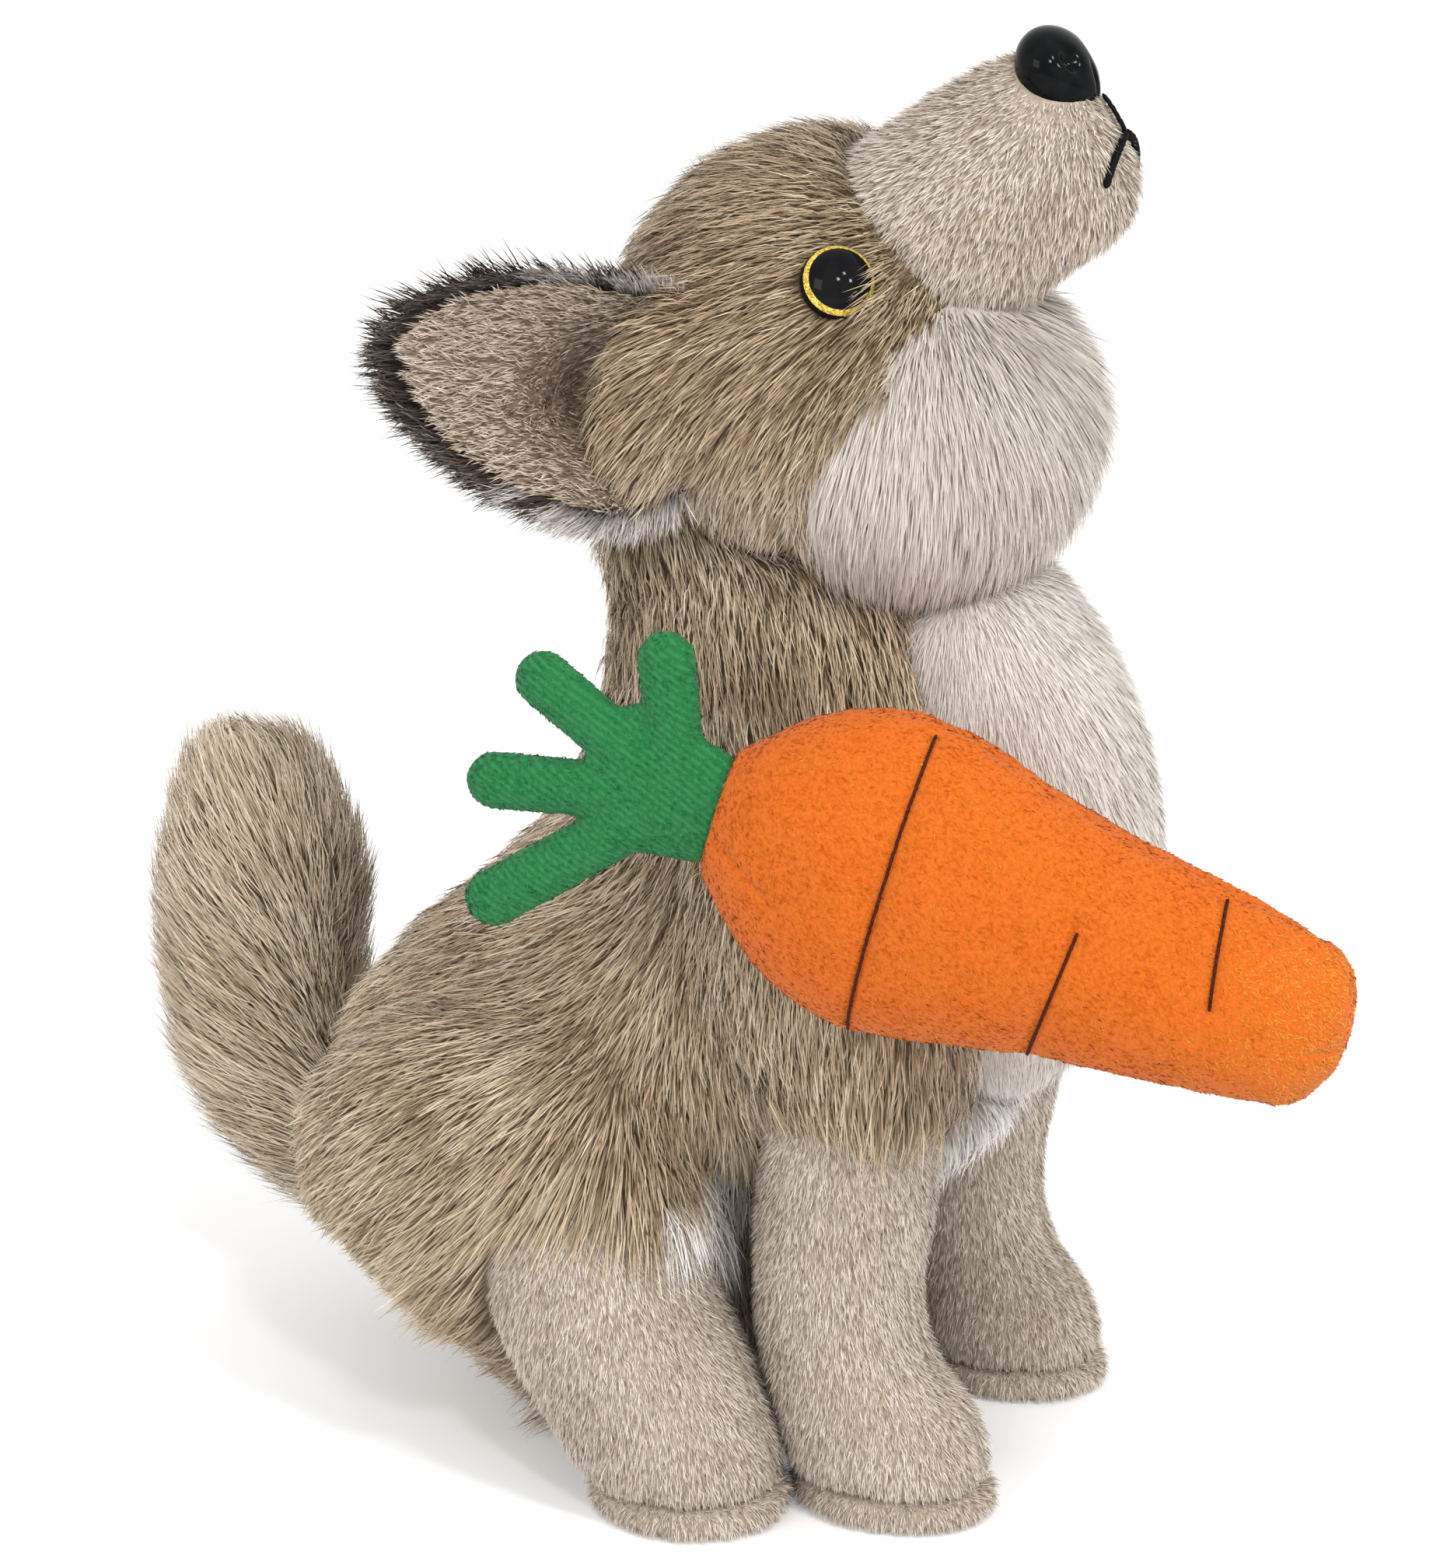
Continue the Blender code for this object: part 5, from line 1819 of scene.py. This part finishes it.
    def nose(self) -> None:
        """A moulded nose: a stretched ball, wider above, with a groove and a dent for each nostril."""
        down = np.linspace(0.0, math.pi, 50)[1:-1][:, None]
        turn = around(66)[None, :]
        x = np.sin(down) * np.cos(turn)
        ahead = np.cos(down) * np.ones_like(turn)
        rise = np.sin(down) * np.sin(turn)
        wide = 1.0 + 0.22 * rise - 0.12 * rise ** 2
        dent = np.exp(-(((np.abs(x) - 0.52) / 0.15) ** 2 + ((rise - 0.06) / 0.20) ** 2)) * (ahead > 0.0)
        groove = np.exp(-(x / 0.07) ** 2) * ease(-rise, 0.0, 0.5) * (ahead > 0.0)
        spot = self.nose_middle() + (x * wide * 0.0061)[..., None] * SIDEWAYS
        spot = spot + (ahead * 0.0048 - 0.0017 * dent - 0.0005 * groove)[..., None] * FORWARD
        spot = spot + (rise * np.where(rise < 0.0, 0.0073, 0.0065))[..., None] * UPWARD
        finish = GlossFinish("nose_gloss", "black_gloss", srgb(6, 8, 10), roughness=0.10)
        self.shop.solid("nose_moulding", Surface.from_rings(spot[::-1]), finish, "nose")

    def mouth_lines(self) -> list[tuple[str, Array, float, str]]:
        """Name, path, radius and CAD node of each embroidered line, laid on the muzzle along a bent guide.

        Returns:
            One row for each line.
        """
        surface = self.muzzle_surface()
        front = self.nose_middle() + FORWARD * 0.0030 - UPWARD * 0.0050
        fork = front - UPWARD * 0.0062
        share = np.linspace(0.0, 1.0, 14)[:, None]
        down = front + (fork - front) * share
        bend = np.linspace(-1.0, 1.0, 61)[:, None]
        line = fork + SIDEWAYS * (0.0098 * bend) - UPWARD * (0.0066 * np.abs(bend) ** 1.4)
        lines = []
        for name, guide, radius, node in (
            ("nose_line", down, 0.00030, "nose_thread"), ("mouth_line", line, 0.00050, "mouth_thread")
        ):
            path = laid_on(guide, surface.points, 0.0011, 0.01, 1e-12)
            path = path + unit(path - HEAD_CENTRE - FORWARD * 0.030 - UPWARD * 0.004) * 0.0005
            lines.append((name, path, radius, node))
        return lines

    def mouth(self) -> None:
        """The embroidered lines as twisted threads."""
        black = shades("040405 0c0c0e")
        matt = {"roughness": 0.6, "sheen": 0.0, "gloss": 0.1}
        finish = FabricFinish("mouth_thread", "black_thread", black, 2500.0, **matt)
        for name, path, radius, node in self.mouth_lines():
            self.shop.solid(name, thread_tube(path, radius), finish, node)


@dataclass
class Ear:
    """One ear: a cupped dark outer panel with long pile, and a short pile lining."""

    shop: Workshop
    hand: Hand
    length: float = 0.0455
    half: float = 0.0185
    cup: float = 0.0065
    hollow: float = 0.0050
    lining_margin: float = 0.0040
    pale_back: float = 0.0200
    pale_rim: float = 0.0265

    def frame(self) -> tuple[Array, Array, Array, Array]:
        """Root, direction to the tip, width direction and open side.

        Returns:
            The four vectors.
        """
        along = unit(np.array([self.hand.value * 0.63, 0.74, 0.24]))
        across = unit(np.array([0.0, 0.0, 1.0]) - along * along[2])
        facing = np.cross(across, along) * self.hand.value
        facing = -facing if facing[1] > 0.0 else facing
        way = unit(np.array([self.hand.value, 0.5, -0.08]) * HEAD_RADII)
        offset = way / np.linalg.norm(way / HEAD_RADII)
        root = HEAD_CENTRE + offset - unit(offset / HEAD_RADII ** 2) * 0.0050
        return root - along * 0.0050, along, across, facing

    def spread(self, share: Array) -> Array:
        """Half width share: narrow at the root, widest near a third, rounded at the tip.

        Args:
            share: places along the length, from 0 to 1.

        Returns:
            Half widths as shares of the widest.
        """
        fall = np.clip((share - 0.30) / 0.70, 0.0, 1.0)
        low = 0.74 + 0.26 * np.sin(0.5 * math.pi * np.clip(share / 0.30, 0.0, 1.0))
        return np.where(share < 0.30, low, np.sqrt(np.maximum(1.0 - fall ** 2.1, 0.0)) ** 1.15)

    def spot(self, share: Array, place: Array, level: Array, margin: float) -> Array:
        """A point of the panel: the open side cups by the square of the distance from the middle line.

        Args:
            share: places along the length, from 0 to 1.
            place: places across, from -1 to 1.
            level: heights over the middle sheet, in metres.
            margin: how far the outline is drawn in, in metres.

        Returns:
            The points.
        """
        root, along, across, facing = self.frame()
        half = np.maximum(self.half * self.spread(share) - margin * (1.0 - 0.6 * share), 0.0010)
        half = half * (1.0 - 0.20 * ease(place, 0.0, 1.0))
        hollow = np.exp(-((share - 0.37) / 0.15) ** 2)
        height = self.cup * (1.0 + 0.8 * hollow) * (half * place / self.half) ** 2 + level
        height = height - self.hollow * hollow * np.exp(-((place + 0.15) / 0.45) ** 2)
        point = root + ((self.length - margin) * share)[..., None] * along
        return point + (half * place)[..., None] * across + height[..., None] * facing

    def panel(self, back: float, front: float, margin: float) -> Surface:
        """A closed panel whose sections run over the back and return over the front, rounded at the edges.

        Args:
            back: level of the back face.
            front: level of the front face.
            margin: how far the outline is drawn in, in metres.

        Returns:
            The closed panel.
        """
        share = 0.985 * np.sin(np.linspace(0.0, 0.5 * math.pi, 30))[:, None]
        turn = around(56)[None, :]
        place = -np.cos(turn) * np.ones_like(share)
        side = np.sin(turn) * np.ones_like(share)
        body = np.sign(side) * np.abs(side) ** 0.5
        middle, half = 0.5 * (back + front), 0.5 * (front - back)
        rings = self.spot(share * np.ones_like(turn), place, middle - half * body, margin)
        return Surface.from_rings(rings if self.hand is Hand.LEFT else rings[:, ::-1])

    def roots(self, count: int, seed: int, rim: bool, front: bool) -> Roots:
        """Roots by share and place on one face of the panel, or along its rim.

        Args:
            count: how many.
            seed: seed of the random numbers.
            rim: only close to the edge.
            front: on the open side.

        Returns:
            The roots, combed outward from the middle of the ear.
        """
        rng = np.random.default_rng(seed)
        share = rng.uniform(0.04, 1.0, count * 3)
        chance = 0.55 + 0.45 * share if rim else self.spread(share)
        share = share[rng.random(count * 3) < chance][:count]
        place = rng.uniform(-1.0, 1.0, len(share))
        if rim:
            place = np.where(share > 0.94, place, np.sign(place) * rng.uniform(0.90, 1.0, len(share)))
        _, along, across, facing = self.frame()
        margin = self.lining_margin if front else 0.0022
        level = np.full(len(share), 0.0012 if front else -0.0020)
        if rim:
            level = rng.uniform(-0.0020, 0.0, len(share))
        points = self.spot(share, place, level, margin)
        half = self.half * self.spread(share)
        out = unit(np.outer((share - 0.30) * self.length, along) + np.outer(place * half, across))
        slope = -2.0 * self.cup * (half * place / self.half) / self.half
        flat = unit(facing[None, :] + slope[:, None] * across[None, :])
        step = 0.004
        one = self.spot(share + step, place, level, margin) - self.spot(share - step, place, level, margin)
        two = self.spot(share, place + step, level, margin) - self.spot(share, place - step, level, margin)
        true = unit(np.cross(one, two))
        true = true * np.sign((true * flat).sum(1, keepdims=True))
        normals = true if front else -flat
        if rim:
            normals = unit(out * 0.8 - flat * 0.6)
        combs = along[None, :] * 0.8 + out * 0.6 if front or not rim else out + along[None, :] * 0.35
        tones = 0.15 * ripple(points, 0.010, seed + 1)
        # Painted shade: the lining's strands darken in the hollow near the root of the ear, where shade
        # falls.
        if front:
            tones = tones + 0.15 - 1.1 * np.exp(-((share - 0.42) / 0.13) ** 2 - ((place + 0.2) / 0.38) ** 2)
        lengths = 1.0 + 0.15 * ripple(points, 0.008, seed + 2)
        if rim:
            lengths = lengths * (1.25 - 0.50 * ease(place, -0.5, 0.6))
        return Roots(points, normals, combs, lengths, tones)

    def build(self) -> None:
        """Both panels and their pile."""
        end = self.hand.node_end
        seed = 110 + 10 * self.hand.value
        back = self.panel(-0.0022, 0.0, 0.0020)
        self.shop.skin(f"ear_back_skin_{end}", back, DARK_CLOTH, [f"ear_back_{end}"], 0.3)
        lining = self.panel(0.0002, 0.0012, self.lining_margin + 0.0002)
        self.shop.skin(f"ear_lining_skin_{end}", lining, LINING_CLOTH, [f"ear_lining_{end}"], 0.3)
        inside = [(HEAD_BALL, 0.003)]
        lining = self.roots(9000, seed, False, True).outside(inside)
        self.shop.plant(f"ear_lining_pile_{end}", EAR_LINING_PILE, lining, EAR_LINING, seed + 1)
        root = self.frame()[0]
        for label, count, step, reach, finish in (
            ("back", 5200, 2, self.pale_back, DARK), ("rim", 4200, 3, self.pale_rim, DARK_RIM)
        ):
            part = self.roots(count, seed + step, label == "rim", False).outside(inside)
            near = np.linalg.norm(part.points - root, axis=1) + 0.006 * ripple(part.points, 0.005, 5)
            pale = near < reach
            self.shop.plant(f"ear_{label}_pile_{end}", EAR_PILE, part.keep(~pale), finish, seed + step + 2)
            self.shop.plant(f"ear_{label}_pale_{end}", EAR_PILE, part.keep(pale), PALE_EAR, seed + step + 4)


@dataclass
class Limbs:
    """The four legs and their sole panels, in short pile."""

    shop: Workshop
    inset: float = 0.0011

    def sole(self, spine: Rows, hand: Hand) -> Surface:
        """A padded disc: rings whose radius share follows the square root of the height at both edges.

        Args:
            spine: sections of the leg.
            hand: the side of the wolf.

        Returns:
            The closed disc.
        """
        x, y, _, wide, deep = spine[-1]
        shares = np.array([0.78, 0.90, 0.97, 1.0, 1.0, 0.985, 0.95, 0.88])
        heights = np.array([0.0, 0.0002, 0.0008, 0.0015, 0.0026, 0.0034, 0.0040, 0.0044])
        turn = around(56)
        rings = np.zeros((len(shares), len(turn), 3))
        rings[..., 0] = hand.value * x + np.outer(shares, np.cos(turn)) * (wide - 0.0003)
        rings[..., 1] = y + np.outer(shares, np.sin(turn)) * (deep - 0.0003)
        rings[..., 2] = heights[:, None]
        return Surface.from_rings(rings)

    def build(self) -> None:
        """Skin, sole and pile of each leg."""
        shop = self.shop
        plans = (
            ("front", FRONT_LEGS, FRONT_LEG_SPINE, SLEEVES, 81),
            ("hind", HIND_LEGS, HIND_LEG_SPINE, HAUNCHES, 91),
        )
        for stem, legs, spine, uppers, seed in plans:
            for hand in Hand:
                end = hand.node_end
                gap = partial(self.leg_seam, spine, hand)
                cut = Seams(gap, cap=0.0009, groove=0.0007)
                surface = shop.stuffed(f"{stem}_leg", [legs[hand].surface(self.inset)], cut)
                leg = shop.skin(f"{stem}_leg_skin_{end}", surface, BEIGE_CLOTH, [f"{stem}_leg_{end}"])
                hidden = [(uppers[hand], 0.003), (TORSO, 0.002)]
                if stem == "hind":
                    hidden.append((FRONT_LEGS[hand], 0.001))
                roots = shop.roots_on(leg, LEG_PILE, comb_down, hidden, seed + hand.value)
                # Painted shade: strands darken along the leg seams and round the top of the sole, where shade
                # falls in the grooves; at the seams they are also shorter.
                near = np.exp(-(gap(roots.points) / 0.0009) ** 2)
                edge = np.exp(-((roots.points[:, 2] - 0.0046) / 0.0008) ** 2)
                low = ease(roots.points[:, 2], 0.0040, 0.0075)
                roots.lengths = roots.lengths * (1.0 - 0.35 * near) * (0.60 + 0.40 * low)
                roots.tones = roots.tones - 0.25 * near - 0.25 * edge
                shop.plant(f"{stem}_leg_pile_{end}", LEG_PILE, roots, BEIGE, seed + 3 + hand.value)
                disc, nodes = self.sole(spine, hand), [f"{stem}_sole_{end}"]
                sole = shop.skin(f"{stem}_sole_skin_{end}", disc, BEIGE_CLOTH, nodes)
                roots = shop.roots_on(sole, LEG_PILE, comb_down, hidden, seed + 5 + hand.value)
                roots = roots.keep(roots.normals[:, 2] > -0.6)
                roots.lengths = roots.lengths * 0.9
                shop.plant(f"{stem}_sole_pile_{end}", LEG_PILE, roots, BEIGE, seed + 7 + hand.value)

    def leg_seam(self, spine: Rows, hand: Hand, points: Array) -> Array:
        """Distance from the seams down front and back of a leg, where its outer and inner panels meet.

        Args:
            spine: sections of the leg.
            hand: the side of the wolf.
            points: rows of x, y, z in toy coordinates.

        Returns:
            The distances in metres.
        """
        heights = [row[2] for row in reversed(spine)]
        places = [hand.value * row[0] for row in reversed(spine)]
        return np.abs(points[:, 0] - np.interp(points[:, 2], heights, places))


@dataclass(frozen=True)
class StitchLine:
    """One stitched line over the outer face of the carrot, ends in degrees round it."""

    node: str
    share: float
    start: float
    end: float
    lean: float

    def gap(self, share: Array, turn: Array) -> Array:
        """Distance in metres along the carrot from the line, and far away past its ends.

        Args:
            share: places along the length, from 0 to 1.
            turn: angles round the carrot.

        Returns:
            The distances.
        """
        place = np.sin(turn)
        step = np.abs(share - self.share - self.lean * place) * CARROT_LENGTH
        low, high = sorted((self.start, self.end))
        past = (np.degrees(turn) < low - 3.0) | (np.degrees(turn) > high + 3.0)
        return np.where(past, 1.0, step)


STITCH_LINES = (
    StitchLine("carrot_stitch_crown", 0.287, 74.0, -74.0, -0.005),
    StitchLine("carrot_stitch_middle", 0.572, 18.7, -74.0, 0.012),
    StitchLine("carrot_stitch_tip", 0.797, 74.0, 4.6, -0.035),
)


LEAF_FINGERS = ((0.0217, 67.8), (0.0265, 22.0), (0.0282, -15.9), (0.0332, -48.5))


@dataclass
class Carrot:
    """The stuffed carrot with its stitched lines and its knitted leaves."""

    shop: Workshop
    leaf_half: float = 0.0037
    leaf_thick: float = 0.0024

    def measured(self, points: Array) -> tuple[Array, Array, Array, Array]:
        """Where points lie on the carrot.

        Args:
            points: rows of x, y, z in toy coordinates.

        Returns:
            Offsets from the joint, shares of the length, and distances from the stitched lines and the seam.
        """
        offset = points - CARROT_JOINT
        share = offset @ CARROT_ALONG / CARROT_LENGTH
        turn = np.arctan2(offset @ CARROT_ACROSS * 0.58, offset @ CARROT_OUT)
        gaps = np.min([line.gap(share, turn) for line in STITCH_LINES], axis=0)
        return offset, share, gaps, np.abs(offset @ CARROT_OUT)

    def cloth(self) -> Surface:
        """The velour bag: the carrot's own form, blown up between seam and stitches, with both pressed in.

        Returns:
            The finished bag.
        """
        surface = CARROT_FORM.surface(0.0006)
        offset, share, gaps, seam = self.measured(surface.points)
        pins = np.maximum(np.exp(-(gaps / 0.0010) ** 2), 0.7 * np.exp(-(seam / 0.0010) ** 2))
        pins = np.round(np.maximum(pins, (share < 0.012) * 1.0) * 4.0) / 4.0
        blown = self.shop.divided("carrot_cloth", self.shop.inflate("carrot_cloth", surface, pins, 0.0012))
        offset, share, gaps, seam = self.measured(blown.points)
        outward = unit(offset - np.outer(offset @ CARROT_ALONG, CARROT_ALONG) * 0.98)
        press = 0.00055 * np.exp(-(gaps / 0.0009) ** 2) + 0.00045 * np.exp(-(seam / 0.0007) ** 2)
        across = offset @ CARROT_ACROSS
        crease = np.exp(-((across + 0.0015 + 0.03 * share) / 0.0006) ** 2) * ease(0.19 - share, 0.0, 0.10)
        crease = crease + 0.8 * np.exp(-((across + 0.0010) / 0.0005) ** 2) * ease(share, 0.93, 0.97)
        press = press + 0.0006 * crease * (offset @ CARROT_OUT > 0.0)
        pucker = 0.00022 * ripple(blown.points, 0.0045, 3) * np.exp(-(seam / 0.0035) ** 2)
        waver = 0.00016 * ripple(blown.points, 0.013, 4)
        points = blown.points + outward * (pucker + waver - press)[:, None]
        return Surface(points, blown.faces)

    def stitches(self, surface: Surface) -> None:
        """A thin thread in the groove of each stitched line, one stitch rising after the other.

        Args:
            surface: a closed surface.
        """
        dark = shades("30120e 50221a")
        matt = {"roughness": 0.7, "sheen": 0.0, "gloss": 0.1}
        finish = FabricFinish("stitch_thread", "dark_stitch", dark, 3000.0, **matt)
        offset = surface.points - CARROT_JOINT
        outer = offset @ CARROT_OUT > -0.002
        spots = surface.points[outer]
        for line in STITCH_LINES:
            turn = np.radians(np.linspace(line.start, line.end, 120))
            shares, halves, thicks = np.array(CARROT_PROFILE).T
            half, thick = np.interp(line.share, shares, halves), np.interp(line.share, shares, thicks)
            reach = (line.share + line.lean * np.sin(turn)) * CARROT_LENGTH
            guide = CARROT_JOINT + np.outer(reach, CARROT_ALONG)
            guide = guide + np.outer(half * np.sin(turn), CARROT_ACROSS)
            path = laid_on(guide + np.outer(thick * np.cos(turn), CARROT_OUT), spots, 0.0007, 0.004, 1e-9)
            rise = 0.00020 + 0.00010 * np.sin(np.linspace(0.0, 2.0 * math.pi * len(turn) / 9.0, len(turn)))
            way = unit(np.outer(np.sin(turn), CARROT_ACROSS) + np.outer(np.cos(turn), CARROT_OUT))
            thread = thread_tube(path + way * rise[:, None], 0.00021)
            self.shop.solid(line.node + "_thread", thread, finish, line.node)

    def finger(self, length: float, angle: float) -> Surface:
        """A flat round-ended finger: half width and thickness follow cos a over the last stretch.

        Args:
            length: length of the finger in metres.
            angle: degrees between the finger and the axis of the carrot.

        Returns:
            The closed finger.
        """
        turn = math.radians(angle)
        pointing = -CARROT_ALONG * math.cos(turn) + CARROT_ACROSS * math.sin(turn)
        sideways = CARROT_ALONG * math.sin(turn) + CARROT_ACROSS * math.cos(turn)
        start = CARROT_JOINT - CARROT_ALONG * (0.0007 + 0.35 * 0.0130)
        straight = np.linspace(0.0, 1.0, 14)
        caps = np.radians(np.linspace(8.0, 86.0, 9))
        bare = length - self.leaf_half
        reach = np.concatenate([straight * bare, bare + self.leaf_half * np.sin(caps)])
        shrink = np.concatenate([np.ones(14), np.cos(caps)])
        wide = self.leaf_half * np.interp(reach / length, [0.0, 0.45, 1.0], [0.90, 1.0, 1.04]) * shrink
        thick = self.leaf_thick * shrink ** 0.7
        ring = around(28)
        rings = start + reach[:, None, None] * pointing
        rings = rings + (wide[:, None] * np.cos(ring))[..., None] * sideways
        return Surface.from_rings(rings + (thick[:, None] * np.sin(ring))[..., None] * CARROT_OUT)

    def palm(self) -> Surface:
        """The flat base of the leaves, from the carrot's joint to past the roots of the fingers.

        Returns:
            The closed palm.
        """
        share = np.linspace(-0.08, 1.35, 24)
        half = np.interp(
            share, [-0.08, 0.0, 0.45, 1.0, 1.2, 1.35], [0.0070, 0.0076, 0.0089, 0.0103, 0.0085, 0.0040]
        )
        thick = self.leaf_thick * np.interp(
            share, [-0.08, 0.0, 0.45, 1.0, 1.35], [1.3, 1.15, 1.0, 1.0, 0.6]
        )
        ring = around(40)
        rings = CARROT_JOINT - CARROT_ALONG * (0.0007 + 0.0130 * share)[:, None, None]
        rings = rings + (half[:, None] * np.cos(ring))[..., None] * CARROT_ACROSS
        return Surface.from_rings(rings + (thick[:, None] * np.sin(ring))[..., None] * CARROT_OUT)

    def build(self) -> None:
        """Body, stitches, leaves and their nap."""
        orange = FabricFinish(
            "orange_velour", "orange_velour", shades("be5406 ca640b"), 2600.0, 0.5, 0.00025, 0.85, 0.1
        )
        surface = self.cloth()
        body = self.shop.skin("carrot_skin", surface, orange, ["carrot_body"])
        self.stitches(surface)
        roots = self.shop.roots_on(body, NAP, comb_nap, [(TORSO, 0.001)], 141)
        share = (roots.points - CARROT_JOINT) @ CARROT_ALONG / CARROT_LENGTH
        roots.tones += 0.85 * ease(share, 0.66, 1.0) + 0.20 * (1.0 - ease(share, 0.0, 0.25)) - 0.05
        roots.tones += 0.22 * ripple(roots.points, 0.0060, 143) + 0.20 * ripple(roots.points, 0.0018, 144)
        self.shop.plant("carrot_nap", NAP, roots, ORANGE_NAP, 142)
        fingers = [self.finger(length, angle) for length, angle in LEAF_FINGERS]
        leaves = self.shop.merged("leaves_skin", [self.palm(), *fingers], 0.00055, 5)
        turn = (math.radians(-35.0), 0.0, 0.0)
        green = KnitFinish("green_knit", "green_fleece", shades("12602f 1a743c"), turn, 0.0009)
        piece = self.shop.skin("leaves_skin", leaves, green, ["carrot_leaves"], 0.4)
        roots = self.shop.roots_on(piece, NAP, comb_nap, [], 151)
        self.shop.plant("leaves_nap", NAP, roots, GREEN_NAP, 152)


@dataclass
class Studio:
    """Floor, world, lamps and camera."""

    shift: Array

    def floor(self) -> None:
        """A pale floor that looks white to the camera and keeps the shadow of the toy."""
        mesh = bpy.data.meshes.new("studio_floor")
        size = 4.0
        mesh.from_pydata(
            [(-size, -size, 0), (size, -size, 0), (size, size, 0), (-size, size, 0)], [], [(0, 1, 2, 3)]
        )
        mesh.update()
        floor = bpy.data.objects.new("studio_floor", mesh)
        bpy.context.scene.collection.objects.link(floor)
        tree = NodeTree("studio_floor")
        tree.put(tree.shader, Base_Color=(0.86, 0.86, 0.86, 1.0))
        tree.surface(1.0, 0.0)
        glow = tree.node("ShaderNodeEmission")
        tree.put(glow, Color=(1.0, 1.0, 1.0, 1.0), Strength=0.16)
        both = tree.node("ShaderNodeAddShader")
        path = tree.node("ShaderNodeLightPath")
        pick = tree.node("ShaderNodeMixShader")
        output = tree.nodes["Material Output"]
        links = tree.material.node_tree.links
        links.new(tree.shader.outputs[0], both.inputs[0])
        links.new(glow.outputs[0], both.inputs[1])
        links.new(path.outputs["Is Camera Ray"], pick.inputs[0])
        links.new(tree.shader.outputs[0], pick.inputs[1])
        links.new(both.outputs[0], pick.inputs[2])
        links.new(pick.outputs[0], output.inputs["Surface"])
        mesh.materials.append(tree.material)

    def lamp(self, name: str, place: tuple[float, float, float], size: float, power: float) -> None:
        """A soft square lamp that looks at the middle of the toy.

        Args:
            name: name of the object.
            place: where it stands.
            size: edge of the lamp in metres.
            power: power in watts.
        """
        light = bpy.data.lights.new(name, "AREA")
        light.size = size
        light.energy = power
        lamp = bpy.data.objects.new(name, light)
        lamp.location = place
        lamp.rotation_euler = (Vector((0.0, 0.0, 0.09)) - Vector(place)).to_track_quat("-Z", "Y").to_euler()
        bpy.context.scene.collection.objects.link(lamp)

    def build(self) -> None:
        """Set the stage."""
        scene = bpy.context.scene
        scene.view_settings.view_transform = "Standard"
        world = bpy.data.worlds.new("studio_world")
        world.use_nodes = True
        sky = world.node_tree.nodes["Background"]
        sky.inputs["Color"].default_value = (1.0, 1.0, 1.0, 1.0)
        sky.inputs["Strength"].default_value = 1.0
        scene.world = world
        self.floor()
        for number, place in enumerate(((-0.95, -0.75, 1.10), (-0.50, -1.25, 0.95), (-0.60, -1.00, 1.45))):
            self.lamp(f"key_lamp_{number + 1}", place, 0.15, 5.3)
        self.lamp("fill_lamp", (-1.3, 0.4, 0.7), 0.6, 5.0)
        azimuth, elevation, distance = math.radians(-66.0), math.radians(18.0), 0.640
        target = np.array([0.0, 0.0, 0.0915]) + self.shift
        level = math.cos(elevation)
        way = np.array([math.sin(azimuth) * level, -math.cos(azimuth) * level, math.sin(elevation)])
        data = bpy.data.cameras.new("photo_camera")
        data.sensor_fit = "HORIZONTAL"
        data.sensor_width = 36.0
        data.lens = 36.0 * distance / (1.828 / 9.22)
        data.clip_start = 0.01
        camera = bpy.data.objects.new("photo_camera", data)
        camera.location = tuple(target + way * distance)
        camera.rotation_euler = (math.pi / 2.0 - elevation, 0.0, azimuth)
        scene.collection.objects.link(camera)
        scene.camera = camera


def main() -> None:
    """Build every sub-assembly in order, then set the stage."""
    logging.basicConfig(level=logging.INFO, format="%(message)s")
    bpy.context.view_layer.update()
    low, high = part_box("nose")
    shift = 0.5 * (np.array(low) + np.array(high)) - NOSE_CENTRE
    shift[2] = 0.0
    shop = Workshop(shift)
    ears = [Ear(shop, hand) for hand in Hand]
    for assembly in (Body(shop), Head(shop), *ears, Limbs(shop), Carrot(shop)):
        assembly.build()
    Studio(shift).build()
    logger.info("new triangles: %d, shift: %s", shop.triangles, np.round(shift, 5))
    bpy.context.view_layer.update()


if __name__ == "__main__":
    main()
